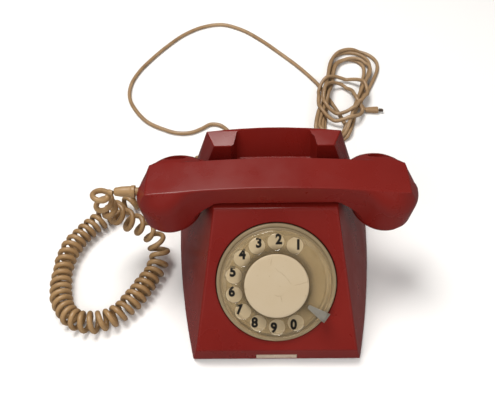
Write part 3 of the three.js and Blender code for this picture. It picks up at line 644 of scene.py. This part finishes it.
def pile_up(flat, wire, slope=0.42):
    """Heights for a cord that lies on the floor and over its own earlier passes, rising gently to each."""
    floor = wire / 2 + 0.1
    heights = []
    skip = int(3.2 * wire)  # the nearest points along the cord aren't an earlier pass
    for i, (x, y) in enumerate(flat):
        need = floor
        for (px, py), height in zip(flat[:max(0, i - skip + 1)], heights):
            gap = wire * wire - (x - px) ** 2 - (y - py) ** 2
            if gap > 0:
                need = max(need, height + math.sqrt(gap))
        heights.append(max(need, heights[-1] - slope if heights else need))
        # earlier points of this pass are raised too, so that the climb is gentle
        k = i - 1
        while k >= 0 and heights[k] < heights[k + 1] - slope:
            heights[k] = heights[k + 1] - slope
            k -= 1
    for _ in range(5):
        heights = [max(h, (heights[max(i - 1, 0)] + h + heights[min(i + 1, len(heights) - 1)]) / 3)
                   for i, h in enumerate(heights)]
    return heights


def make_line_cord():
    """The sweep on the floor and the piled bundle, as one wire."""
    whole = smooth_path(LINE_ROUTE + bundle(), 1.0)
    joins = min(range(len(whole)), key=lambda i: (whole[i] - vec(*LINE_ROUTE[-3])).length)
    flat = [(p.x / MM, p.y / MM) for p in whole[joins:]]
    heights = pile_up(flat, LINE_WIRE)
    path = whole[:joins] + [vec(x, y, z) for (x, y), z in zip(flat, heights)]
    descent = 26
    for k in range(descent):  # down to the end sleeve
        share = (1 - k / descent) ** 2
        p = path[-1 - k]
        p.z = min(p.z, (END_Z + (p.z / MM - END_Z) * (1 - share)) * MM)
    mesh = tube_mesh("line_cord_wire", path, LINE_WIRE / 2 * MM)
    wire = new_object("line_cord_wire", mesh)
    return dressed(wire, LINE_TAN, "cord_tan", "line_cord", "line_cord_hank"), path


curly_wire, curly_path = make_curly_cord()
line_wire, line_path = make_line_cord()


# ---- housing
REARWARD = Matrix.Rotation(-math.pi / 2, 4, "X")  # turns what points up to the rear


def foot_outline(inset):
    """The housing's lower edge from above: bowed sides, round rear corners and a bowed rear."""
    right = []
    for run in range(0, 175, 5):
        right.append((FOOT_HALF + 0.24 * run - 0.00068 * run * run, FRONT_Y + run))
    corner_x = right[-1][0] - CORNER_R
    for a in range(0, 91, 9):
        t = math.radians(a)
        right.append((corner_x + CORNER_R * math.cos(t), CORNER_Y + CORNER_R * math.sin(t)))
    for x in (60, 48, 36, 24, 12, 0):
        right.append((x, REAR_Y - 4 * (x / 70) ** 2))
    whole = right + [(-x, y) for x, y in right[-2::-1]]
    return [
        (x - math.copysign(inset, x) if x else 0, y + (inset if y < -80 else -inset if y > 80 else 0))
        for x, y in whole
    ]


def mirrored(points):
    return [*points, *((-x, y, z) for x, y, z in points)]


def housing_form(inset, bottom):
    """The two hulls of the housing: the wedge with the dial face, and the tower behind it."""
    foot = [(x, y, bottom) for x, y in foot_outline(inset)]
    low = inset * 1.1
    wedge = plain(hull(foot + mirrored([
        (LIP_HALF - inset, FRONT_Y + inset, LIP_TOP_Z - inset * 0.4),
        (BROW_HALF - inset, BROW_Y + inset * 0.3, BROW_Z - low),
        (POST_HALF + 1 - inset, POST_Y, SADDLE_Z - low),
        (SHOULDER_HALF - inset, RIDGE_Y, SHOULDER_Z - low),
    ])))
    ridge = [
        (s * (RIDGE_HALF - inset), RIDGE_Y + RIDGE_BOW * (1 - s * s) - inset, RIDGE_Z - low)
        for s in (i / 10 for i in range(-10, 11))
    ]
    tower = plain(hull([p for p in foot if p[1] > RIDGE_Y - 25] + ridge + mirrored([
        (POST_HALF - inset, POST_Y + inset, POST_Z - low),
        (POST_HALF + 1 - inset, POST_Y + inset, SADDLE_Z - 10),
    ])))
    combine(wedge, tower, "UNION")
    return wedge


def recess_outline(grow):
    back, half, r = GRIP_BACK_Y + grow, GRIP_HALF + grow, GRIP_CORNER_R + grow
    corner = [
        (half, back - r),
        *(((1 - t) ** 2 * half + 2 * t * (1 - t) * (half - 0.4) + t * t * (half - r),
           (1 - t) ** 2 * (back - r) + 2 * t * (1 - t) * (back - 0.4) + t * t * back)
          for t in (0.14, 0.28, 0.42, 0.57, 0.72, 0.86)),
        (half - r, back),
    ]
    middle = [
        (half - r - (half - r) * k / 4, back + 1.7 * math.sin(math.pi / 2 * k / 4)) for k in range(1, 5)
    ]
    right = [(GRIP_FLARE + grow, POST_Y - 16), (GRIP_FLARE + grow, POST_Y), *corner, *middle]
    return right + [(-x, y) for x, y in right[-2::-1]]


def recess(grow):
    """The grip recess between the posts; its back wall leans towards the rear."""
    bm = prism(recess_outline(grow), GRIP_FLOOR_Z - grow, 130)
    for v in bm.verts:
        run = v.co.y - POST_Y * MM
        if run > 0:
            v.co.y = POST_Y * MM + run * (1 - GRIP_LEAN * (RIDGE_Z - v.co.z / MM))
    return bm


def bevel_edges(obj, choose, steps=4):
    """Rounds the edges that choose(edge, angle) gives a radius for, in millimetres."""
    bm = bmesh.new()
    bm.from_mesh(obj.data)
    bmesh.ops.remove_doubles(bm, verts=bm.verts, dist=2e-6)
    bmesh.ops.dissolve_limit(bm, angle_limit=math.radians(1.2), verts=bm.verts, edges=bm.edges)
    layer = bm.edges.layers.float.new("bevel_weight_edge")
    for edge in bm.edges:
        if len(edge.link_faces) == 2:
            radius = choose(edge, math.degrees(edge.calc_face_angle(0)))
            edge[layer] = radius / 10
    bm.to_mesh(obj.data)
    bm.free()
    mod = obj.modifiers.new("round", "BEVEL")
    mod.limit_method, mod.width, mod.segments = "WEIGHT", 10 * MM, steps
    mod.offset_type, mod.use_clamp_overlap, mod.miter_outer = "OFFSET", False, "MITER_ARC"
    bake(obj)


def housing_radius(edge, angle):
    """The bend radius of each of the housing's edges."""
    a, b = (v.co / MM for v in edge.verts)
    middle, along = (a + b) / 2, b - a
    if angle < 14 or middle.z < 4 or not edge.is_convex:
        return 0
    if middle.z < 20 and middle.y < -94:
        return 1.0  # the lip's top edge
    if abs(middle.y - BROW_Y) < 2 and middle.z > 95:
        return 2.6  # top of the dial face
    if middle.y < BROW_Y + 1:
        return 2.0  # the dial face's two sides
    if max(abs(a.x), abs(b.x)) < 37.5 and middle.y < 64.5:
        return 0  # round the recess
    if middle.z > POST_Z - 1 and middle.y > POST_Y - 2:
        return 0.9  # posts and ridge
    if abs(middle.y - POST_Y) < 1 and abs(along.x) < 1 and 40 < abs(middle.x) < 54:
        return 0.9  # the posts' outer upright edges
    return 0


def make_housing():
    """The hollow housing, open below, with all its openings."""
    shell = housing_form(0, FOOT_H)
    cut(shell, recess(0))
    bevel_edges(shell, housing_radius)
    inner = housing_form(WALL, -1)
    cut(inner, recess(WALL))
    combine(shell, inner, "DIFFERENCE")
    edge = [
        (DIAL_RIM_R - 0.8 * math.cos(t), -0.8 + 0.8 * math.sin(t))
        for t in (math.radians(a) for a in range(0, 91, 18))
    ]
    rim = lathe([(0, -8), (DIAL_HOLE_R, -8), *edge, (DIAL_RIM_R, 8), (0, 8)], 120)
    rim.transform(DIAL_PLACE)
    cut(shell, rim)
    for side in (-1, 1):
        bore = [(0, 85), (PLUNGER_HOLE_R, 85), (PLUNGER_HOLE_R, 110), (0, 110)]
        drill(shell, bore, side * PLUNGER_X, PLUNGER_Y, 32)
    cut(shell, prism([(-17, -101), (17, -101), (17, -95.6), (-17, -95.6)], 4.2, 10.2))  # for the label
    for x in (LINE_GLAND_X, CURLY_GLAND_X):
        hole = lathe([(0, 0), (GLAND_HOLE_R, 0), (GLAND_HOLE_R, 60), (0, 60)], 32)
        hole.transform(at(x, GLAND_START_Y - 10, GLAND_Z) @ REARWARD)
        cut(shell, hole)
    bm = taken(shell)
    bmesh.ops.remove_doubles(bm, verts=bm.verts, dist=2e-6)
    dressed(finish_mesh(bm, "housing", "base", 34, weighted=True), RED, "shell_red", "housing_shell")


make_housing()


# ---- handset
BAR_HALF, BAR_W, BAR_UNDER = 104.6, 16.3, 103.4
BAR_END_Z, BAR_BOW = 115, 7.3
CUP_X, CUP_Z, CUP_R, CUP_TILT = 88.7, 95, 26, math.radians(10)
CUP_RIM, CUP_BULGE = -14, 3  # heights on the cup's axis
SHELF_X, SHELF_Y, SHELF_Z, SHELF_R = 80, -1, 110.4, 29  # the cups bulge out behind the bar round this
SOCKET_R = 22.2  # for the cap
BAR_STEPS, FILLET_STEPS, CUP_STEPS = 9, 15, 20
HANDSET_AT = at(1.4, 3, 0)  # a little right of the middle


def bar_top(x):
    return BAR_END_Z + BAR_BOW * (1 - (x / BAR_HALF) ** 2)


def front(x, z):
    """A point on the bar's flat front."""
    return Vector((x, -BAR_W, z))


def on_cup(r, angle, height):
    """A point about a cup's axis: the angle is measured from the outer end towards the front."""
    x, y = r * math.cos(angle), -r * math.sin(angle)
    c, s = math.cos(CUP_TILT), math.sin(CUP_TILT)
    return Vector((CUP_X + x * c + height * s, y, CUP_Z - x * s + height * c))


def bezier(points, t):
    while len(points) > 1:
        points = [a.lerp(b, t) for a, b in zip(points, points[1:])]
    return points[0]


def make_handset():
    """One continuous skin: flat arched top, walls that flare from the bar into the round cups."""
    joint = math.radians(122)  # where the walls meet the cup's circle
    corner = joint * 0.3  # the top's corner looks towards this point of the circle
    bar_end, fillet_end = 44, 71
    stations = []  # top, bulge and rim points of the front wall, middle to end
    for x in [bar_end * k / 8 for k in range(BAR_STEPS)]:
        stations.append((front(x, bar_top(x)), front(x, BAR_UNDER + 5), front(x, BAR_UNDER)))
    rim_end, bulge_end = on_cup(CUP_R, joint, CUP_RIM), on_cup(CUP_R, joint, CUP_BULGE)
    along = Vector((math.sin(joint), math.cos(joint), 0))
    for k in range(1, FILLET_STEPS):
        t = k / FILLET_STEPS
        x = bar_end + (fillet_end - bar_end) * t
        rim = bezier([front(bar_end, BAR_UNDER), front(bar_end + 13, BAR_UNDER),
                      rim_end - along * 9 + Vector((0, 0, 7)), rim_end], t)
        bulge = bezier([front(bar_end, BAR_UNDER + 5), front(bar_end + 12, BAR_UNDER + 4),
                        bulge_end - along * 9 + Vector((0, 0, 2)), bulge_end], t)
        stations.append((front(x, bar_top(x)), bulge, rim))
    for k in range(CUP_STEPS + 1):
        angle = joint * (1 - k / CUP_STEPS)
        if angle > corner - 1e-6:
            x = fillet_end + (BAR_HALF - fillet_end) * (joint - angle) / (joint - corner)
            top = front(min(x, BAR_HALF), bar_top(min(x, BAR_HALF)))
        else:
            top = Vector((BAR_HALF, -BAR_W * (angle / corner), bar_top(BAR_HALF)))
        stations.append((top, on_cup(CUP_R, angle, CUP_BULGE), on_cup(CUP_R, angle, CUP_RIM)))

    cup_start = BAR_STEPS + FILLET_STEPS - 1  # the first station on the cup's circle
    bm = bmesh.new()
    cache = {}

    def vert(p):
        key = tuple(round(c, 3) + 0.0 for c in p)
        if key not in cache:
            cache[key] = bm.verts.new(Vector(key) * MM)
        return cache[key]

    def quad(*points):
        corners = list(dict.fromkeys(vert(p) for p in points))
        if len(corners) > 2 and bm.faces.get(corners) is None:
            bm.faces.new(corners)

    def grid(rows):
        for low, high in zip(rows, rows[1:]):
            for a, b, c, d in zip(low, low[1:], high[1:], high):
                quad(a, b, c, d)

    def flip(p, sx, sy):
        return Vector((p[0] * sx, p[1] * sy, p[2]))

    def wall(top, bulge, rim, fullness):
        knee = bulge + (bulge - rim).normalized() * (top - bulge).length * fullness
        return ([bezier([top, knee, bulge], t) for t in (0, 0.2, 0.4, 0.58, 0.74, 0.87, 1)] +
                [bulge.lerp(rim, t) for t in (0.35, 0.7, 0.93)] + [rim])

    def rear_bulge(i):
        """Behind the bar the cups bulge out further, and nearly as high as the bar."""
        if i < BAR_STEPS:
            return stations[i][1]
        if i < cup_start:
            t = (i - BAR_STEPS + 1) / FILLET_STEPS
            return front(bar_end + 11 * t, BAR_UNDER + 5 + 2 * t)
        angle = joint * (1 - (i - cup_start) / CUP_STEPS)
        turn = angle * math.radians(150) / joint
        shelf = Vector((SHELF_X + SHELF_R * math.cos(turn), SHELF_Y - SHELF_R * math.sin(turn), SHELF_Z))
        share = min(1, angle / math.radians(52))
        return stations[i][1].lerp(shelf, share * share * (3 - 2 * share))

    fronts = [wall(*station, 0.42) for station in stations]
    rears = [wall(top, rear_bulge(i), rim, 0.28) for i, (top, _, rim) in enumerate(stations)]
    rears[-1] = fronts[-1]
    on_edge = [s[0] for s in stations if s[0].x > BAR_HALF - 0.01]
    across = sorted({round(p.y, 3) for p in on_edge} | {-round(p.y, 3) for p in on_edge})
    lengths = sorted({round(s[0].x, 3) for s in stations})
    arc = [joint + (2 * math.pi - 2 * joint) * k / 16 for k in range(17)]
    fillet_rims = [s[2] for s in stations[BAR_STEPS - 1:cup_start + 1]]
    for sx in (-1, 1):
        for walls, sy in ((fronts, 1), (rears, -1)):
            grid([[flip(p, sx, sy) for p in line] for line in walls])
        grid([[Vector((sx * x, y, bar_top(x))) for y in across] for x in lengths])
        # the underside of the bar, and the saddle down to each cup's inner half
        ys = [-BAR_W + 2 * BAR_W * k / 16 for k in range(17)]
        grid([[Vector((sx * s[2].x, y, BAR_UNDER)) for y in ys] for s in stations[:BAR_STEPS]])
        rows = []
        for i, rim in enumerate(fillet_rims):
            t = i / (len(fillet_rims) - 1)
            row = []
            for k, angle in enumerate(arc):
                if k in (0, 16):
                    p = flip(rim, 1, 1 if k == 0 else -1)
                else:
                    inner = on_cup(CUP_R, angle, CUP_RIM)
                    start = Vector((bar_end, ys[k], BAR_UNDER))
                    p = bezier([start, start + Vector((11, 0, 0)), inner + Vector((-3, 0, 9)), inner], t)
                row.append(flip(p, sx, 1))
            rows.append(row)
        grid(rows)
        # the cup's rim and the socket for the cap
        circle = [joint * (1 - k / CUP_STEPS) for k in range(CUP_STEPS + 1)]
        circle = circle + [-a for a in circle[-2::-1]] + [a - 2 * math.pi for a in arc[-2:0:-1]]
        rings = [[flip(on_cup(r, a, h), sx, 1) for a in circle + circle[:1]]
                 for r, h in ((CUP_R, CUP_RIM), (CUP_R - 1, -14.2), (SOCKET_R, -14.2), (SOCKET_R, 2))]
        grid(rings)
        bm.faces.new(list(dict.fromkeys(vert(p) for p in rings[-1])))
    bmesh.ops.remove_doubles(bm, verts=bm.verts, dist=3e-6)
    obj = plain(bm)
    for side in (-1, 1):
        dimple = bmesh.new()
        bmesh.ops.create_uvsphere(dimple, u_segments=32, v_segments=16, radius=MM)
        bmesh.ops.scale(dimple, vec=(8.5, 3, 3.4), verts=dimple.verts)
        dimple.transform(at(side * 83, 24.4, 114))
        cut(obj, dimple)
    bevel_edges(obj, handset_radius, 3)
    bm = taken(obj)
    bm.transform(HANDSET_AT)
    dressed(finish_mesh(bm, "handset", "handset", 40, weighted=True), RED, "shell_red", "handset_shell")


def handset_radius(edge, angle):
    if angle < 28:
        return 0
    z = (edge.verts[0].co.z + edge.verts[1].co.z) / 2 / MM
    return 1.1 if z > 112 else 1.6 if z > 102 else 0


make_handset()


# ---- dial
def on_dial(bm, name, body, look, angle=35, weighted=False, slot=None, nodes=()):
    bm.transform(DIAL_PLACE)
    return dressed(finish_mesh(bm, name, body, angle, weighted), look, slot, *nodes)


def polar(r, degrees):
    t = math.radians(degrees)
    return r * math.cos(t), r * math.sin(t)


FIRST_HOLE, HOLE_STEP, HOLE_RING_R, STOP_ANGLE = 64.6, 25.714, 34.5, -34.5
HOLE_ANGLES = [FIRST_HOLE + HOLE_STEP * i for i in range(10)]

# number plate: a raised number ring inside two low rims
section = rounded([
    (10, -3), (10, 2.9), (39.2, 2.9), (40.2, 1.7), (42, 1.5), (43.2, 2.4), (44.2, 2.4), (44.9, 1.7),
    (45.6, 2.6), (47.6, 2.6), (48.1, 1.8), (48.1, -3), (10, -3),
], [0.1, 0.8, 0.4, 0.6, 0.5, 0.4, 0.3, 0.4, 0.5, 0.3, 0.3], 3)
on_dial(lathe(section[:-1], 120, closed=True), "number_plate_rings", "base", PLATE, 30, slot="plate_beige",
        nodes=["number_plate"])

# clear wheel: a rounded rim, a thicker hub and ten finger holes with rounded edges
section = rounded([
    (6, 6.9), (6, 8.9), (27.4, 8.9), (28.2, 8.5), (39.6, 8.5), (41.2, 9), (42.6, 9), (43.6, 8.2), (43.6, 7),
    (42.8, 6.6), (40.5, 7.1), (6, 6.9),
], [0.1, 0.5, 0.5, 0.8, 0.7, 0.6, 0.6, 0.5, 0.4, 0.6], 3)
wheel = plain(lathe(section[:-1], 120, closed=True))
for angle in HOLE_ANGLES:
    drill(wheel, [
        (0, 5), (6.75, 5), (6.75, 6.9), (6.5, 7.3), (6.5, 7.9), (6.65, 8.3), (7.1, 8.62), (7.1, 11), (0, 11),
    ], *polar(HOLE_RING_R, angle), 40)
wheel = on_dial(taken(wheel), "clear_finger_wheel", "dial", AMBER, 32, True, "clear_amber", ["finger_wheel"])
wheel.visible_shadow = False

# numerals, printed on the number plate
FONT_SIZE, NUMERAL_WIDTH, NUMERAL_HEIGHT = 10.4, 0.96, 1.06
NUMERAL_RING_R, NUMERAL_LAG, NUMERAL_Z = 36.2, 3.8, 2.97
for digit, angle in zip("1234567890", HOLE_ANGLES):
    text = bpy.data.curves.new("numeral_" + digit, "FONT")
    text.body, text.size = digit, FONT_SIZE * MM
    text.align_x, text.align_y = "CENTER", "CENTER"
    text.offset, text.extrude, text.resolution_u = 0.0005, 0.00005, 4
    holder = bpy.data.objects.new("temp", text)
    scene.collection.objects.link(holder)
    bpy.context.view_layer.update()
    mesh = bpy.data.meshes.new_from_object(holder.evaluated_get(bpy.context.evaluated_depsgraph_get()))
    bpy.data.objects.remove(holder)
    bm = bmesh.new()
    bm.from_mesh(mesh)
    xs, ys = [v.co.x for v in bm.verts], [v.co.y for v in bm.verts]
    middle = Vector(((min(xs) + max(xs)) / 2, (min(ys) + max(ys)) / 2, 0))
    x, y = polar(NUMERAL_RING_R, angle - NUMERAL_LAG)
    bmesh.ops.scale(bm, vec=(NUMERAL_WIDTH, NUMERAL_HEIGHT, 1), verts=bm.verts)
    middle.x, middle.y = middle.x * NUMERAL_WIDTH, middle.y * NUMERAL_HEIGHT
    bmesh.ops.translate(bm, vec=vec(x, y - 0.4, NUMERAL_Z) - middle, verts=bm.verts)
    on_dial(bm, "numeral_" + digit, "base", INK, 30)

# centre disc: a rimmed holder and a gently domed cover
DISC_Z = 9.4
holder = rounded([
    (4, DISC_Z), (24.4, DISC_Z), (25, DISC_Z + 0.8), (25, DISC_Z + 1.9), (4, DISC_Z + 1.9), (4, DISC_Z),
], [0.5, 0.4, 0.3, 0.1], 3)
on_dial(lathe(holder[:-1], 96, True), "disc_ring", "dial", IVORY, slot="ivory", nodes=["disc_holder"])
cover = [(0, DISC_Z + 2.5), *rounded([
    (23, DISC_Z + 2.5), (23, DISC_Z + 2.1), (25, DISC_Z + 2.1), (25.6, DISC_Z + 2.8), (25.4, DISC_Z + 3.9),
    (24.4, DISC_Z + 4.3), (18, DISC_Z + 4.6), (8, DISC_Z + 4.8), (0, DISC_Z + 4.8),
], [0.1, 0.3, 0.4, 0.5, 0.6, 3, 3], 3)]
on_dial(lathe(cover, 96), "disc_front", "dial", IVORY, 40, slot="ivory", nodes=["disc_cover"])

# finger stop: a bent metal wedge over the wheel's edge; distance out, half width, top and underside
rows = [(30.3, 1.0, 10.3, 9.7), (31.2, 1.6, 10.6, 9.6), (39, 3.0, 10.6, 9.6), (46.2, 4.1, 10.6, 9.6),
        (48.6, 4.4, 9.3, 8.4)]
bm = bmesh.new()
loops = [[bm.verts.new(vec(x, y, z)) for y, z in ((-w, low), (w, low), (w, high), (-w, high))]
         for x, w, high, low in rows]
for near, far in zip(loops, loops[1:]):
    join_rings(bm, near, far)
bm.faces.new(loops[0])
bm.faces.new(loops[-1])
stop = plain(bm)
combine(stop, plain(prism([(44.7, -3.6), (46.3, -3.7), (46.3, 3.7), (44.7, 3.6)], 2.9, 9.9)), "UNION")
bevel_edges(stop, lambda edge, angle: 0 if angle < 20 else 0.22, 3)
bm = taken(stop)
bm.transform(Matrix.Rotation(math.radians(STOP_ANGLE), 4, "Z"))
on_dial(bm, "bent_finger_stop", "base", STEEL, 35, True, "steel", ["finger_stop"])


# ---- caps, cord ends, label
def cup_place(side):
    return HANDSET_AT @ at(side * CUP_X, 0, CUP_Z) @ Matrix.Rotation(side * CUP_TILT, 4, "Y")


def make_cap(side, name, node):
    """A screwed cap with nineteen sound holes."""
    section = rounded([
        (20.1, -8), (21.5, -8), (21.5, -14.6), (24, -14.6), (24.2, -16.5), (24, -18.6), (21, -21), (8, -22.3),
        (0, -22.4),
    ], [0.4, 0.1, 0.5, 1.2, 1.6, 2.2, 3], 4)
    inside = [(0, -20.4), (8, -20.3), (19.4, -19), (20.1, -17.2), (20.1, -8)]
    cap = plain(lathe([*section, *inside[:-1], section[0]], 80))
    holes = [(0, 0), *((6, k * 60) for k in range(6)), *((12.4, k * 30 + 15) for k in range(12))]
    for ring, angle in holes:
        drill(cap, [(0, -26), (1.1, -26), (1.1, -17), (0, -17)], *polar(ring, angle), 14)
    bm = taken(cap)
    bmesh.ops.remove_doubles(bm, verts=bm.verts, dist=2e-6)
    bm.transform(cup_place(side))
    dressed(finish_mesh(bm, name, "handset", 35, weighted=True), RED_CAP, "cap_red", node)


make_cap(-1, "earpiece_cap_face", "earpiece_cap")
make_cap(1, "mouthpiece_cap_face", "mouthpiece_cap")


def turned(profile, place, name, body, look, node):
    """A ring-shaped sleeve from its outline, turned about +Z and then placed."""
    bm = lathe(rounded([*profile, profile[0]], 0.3, 3)[:-1], 32, closed=True)
    bm.transform(place)
    dressed(finish_mesh(bm, name, body, 40), look, "cord_tan", node)


def ribs(start, end, low, high, count):
    """Raised rings along a sleeve's outline."""
    points = []
    for i in range(count):
        wide = high + (low - high) * i / count
        for r, share in ((wide, i), (wide, i + 0.55), (wide - 0.45, i + 0.58), (wide - 0.45, i + 0.96)):
            points.append((r, start + (end - start) * share / count))
    return points


LEFTWARD = Matrix.Rotation(-math.pi / 2, 4, "Y")
RELIEF_Z = 101
turned([(2.5, -7), (3.4, -7), (3.4, 0), (5.2, 0), (5.2, 2.6), (4.6, 3.6), (4.3, 11), (3.4, 16.4),
        (2.5, 17.4)],
       HANDSET_AT @ at(-CUP_X - CUP_R - 0.8, 0, RELIEF_Z) @ LEFTWARD,
       "cord_relief_sleeve", "handset", CURLY_TAN, "handset_relief")
for name, x, look, bore in (
    ("line_cord_gland", LINE_GLAND_X, LINE_TAN, 2.25), ("curly_cord_gland", CURLY_GLAND_X, CURLY_TAN, 2.5),
):
    turned([(bore, 0), (5, 0), (5, 3.2), (3.4, 3.2), (3.4, 14), *ribs(16, 30, 2.9, 3.6, 5), (bore, 30.5)],
           at(x, GLAND_START_Y, GLAND_Z) @ REARWARD,
           name + "_sleeve", "base", look, name)


def soft_box(name, size, centre, look, slot, node, radius, bend=None):
    """A box with rounded edges, bent before it is placed."""
    bm = bmesh.new()
    bmesh.ops.create_cube(bm, size=1)
    bmesh.ops.scale(bm, vec=vec(*size), verts=bm.verts)
    bmesh.ops.bevel(bm, geom=bm.edges[:], offset=radius * MM, segments=3, profile=0.5, affect="EDGES")
    if bend:
        bend(bm)
    bm.transform(at(*centre))
    dressed(finish_mesh(bm, name, "base", 40, weighted=True), look, slot, node)


SLEEVE_LENGTH, TIP_LENGTH = 15, 5


def taper(bm):
    """Narrows the end sleeve towards the cord."""
    for v in bm.verts:
        share = v.co.x / (SLEEVE_LENGTH * MM) + 0.5
        v.co.y *= 0.72 + 0.36 * share
        v.co.z *= 0.94 + 0.1 * share


soft_box("line_end_sleeve_moulded", (SLEEVE_LENGTH, 7.4, 4.8), (114.5, 205, END_Z), LINE_TAN, "cord_tan",
         "line_end_sleeve", 1.6, taper)


def hook(bm):
    """Bends the tip sideways."""
    bmesh.ops.subdivide_edges(bm, edges=[e for e in bm.edges if e.calc_length() > 3 * MM], cuts=4)
    for v in bm.verts:
        share = v.co.x / (TIP_LENGTH * MM) + 0.5
        v.co.y -= 0.9 * MM * share * share


soft_box("line_end_tip_bent", (TIP_LENGTH, 3.2, 2.8), (124.8, 204.7, END_Z), TIP, "cord_tip", "line_end_tip",
         0.9, hook)

soft_box("label_window_clear", (33.2, 0.8, 5.4), (0, -96.95, 7.2), LABEL, "clear_amber", "label_window", 0.2)


# ---- the other parts
def dress(look, slot, *names, edge):
    """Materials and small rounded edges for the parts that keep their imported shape."""
    for name in names:
        obj = bpy.data.objects[name]
        look.give(obj)
        for polygon in obj.data.polygons:
            polygon.use_smooth = True
        weld = obj.modifiers.new("weld", "WELD")
        weld.merge_threshold = 0.000002
        flat = obj.modifiers.new("flat", "DECIMATE")
        flat.decimate_type, flat.angle_limit = "DISSOLVE", math.radians(1.5)
        if edge:
            round_off = obj.modifiers.new("round", "BEVEL")
            round_off.width, round_off.segments = edge * MM, 2
            round_off.limit_method, round_off.angle_limit = "ANGLE", math.radians(32)
        normals = obj.modifiers.new("normals", "WEIGHTED_NORMAL")
        normals.keep_sharp = False


def both(*names):
    return [name + side for name in names for side in ("_left", "_right")]


dress(STEEL, "steel", "dial_shaft", "dial_frame", "dial_bridge", "governor_spindle", "hook_lever", "hook_pin",
      *both("hook_bracket"), "ringer_frame", "ringer_core", edge=0.25)
dress(STEEL, "steel", "return_spring", "hook_spring", edge=0)
dress(STEEL, "steel", *both("base_screw_front", "base_screw_rear"), edge=0.3)
dress(BRASS, "brass", "main_gear", "pulse_pinion", "governor_weights", "governor_cup", "ringer_clapper",
      "capacitor", edge=0.12)
dress(BELL, "bell_metal", *both("gong"), "receiver_capsule", "transmitter_capsule", edge=0.5)
dress(BLACK, "black_plastic", "base_plate", "pulse_cam", "pulse_contacts", "hook_switch", edge=0.4)
dress(RUBBER, "foot_rubber", *both("foot_front", "foot_rear"), edge=0.7)
dress(BOARD, "board", "circuit_board", edge=0.15)
dress(COPPER, "copper_winding", "ringer_coil", "induction_coil", edge=0.4)
dress(CARD, "card", "disc_card", "label_card", edge=0.05)
dress(IVORY, "ivory", "terminal_block", edge=0.4)
dress(RED_CAP, "cap_red", *both("cradle_plunger"), edge=0.6)


# ---- stage and light
def make_stage():
    world = bpy.data.worlds.new("world")
    scene.world = world
    world.use_nodes = True
    background = world.node_tree.nodes["Background"]
    background.inputs["Color"].default_value = (1, 0.97, 0.94, 1)
    background.inputs["Strength"].default_value = 0.16
    scene.view_settings.view_transform = "Standard"
    bm = bmesh.new()
    bmesh.ops.create_grid(bm, x_segments=1, y_segments=1, size=3)
    floor = plain(bm)
    floor.name, floor.location.z = "floor", -0.0002
    floor.visible_glossy = False
    white = Look("floor_white", (255, 255, 255), 0.9)
    white.shader.inputs["Base Color"].default_value = (0.92, 0.92, 0.92, 1)
    white.give(floor)
    for name, place, size, power, tint in (
        ("key", (-0.34, 0.32, 1.42), 0.7, 19, (1, 0.97, 0.93)),
        ("left", (-0.8, -0.9, 0.9), 1.0, 9, (1, 0.98, 0.95)),
        ("right", (0.8, -0.7, 0.9), 1.0, 8, (1, 0.97, 0.94)),
    ):
        light = bpy.data.objects.new(name, bpy.data.lights.new(name, "AREA"))
        light.data.size, light.data.energy, light.data.color = size, power, tint
        light.location = place
        light.rotation_mode = "QUATERNION"
        light.rotation_quaternion = (Vector((0, 0, 0.05)) - Vector(place)).to_track_quat("-Z", "Y")
        light.visible_glossy = name == "key"
        scene.collection.objects.link(light)


make_stage()
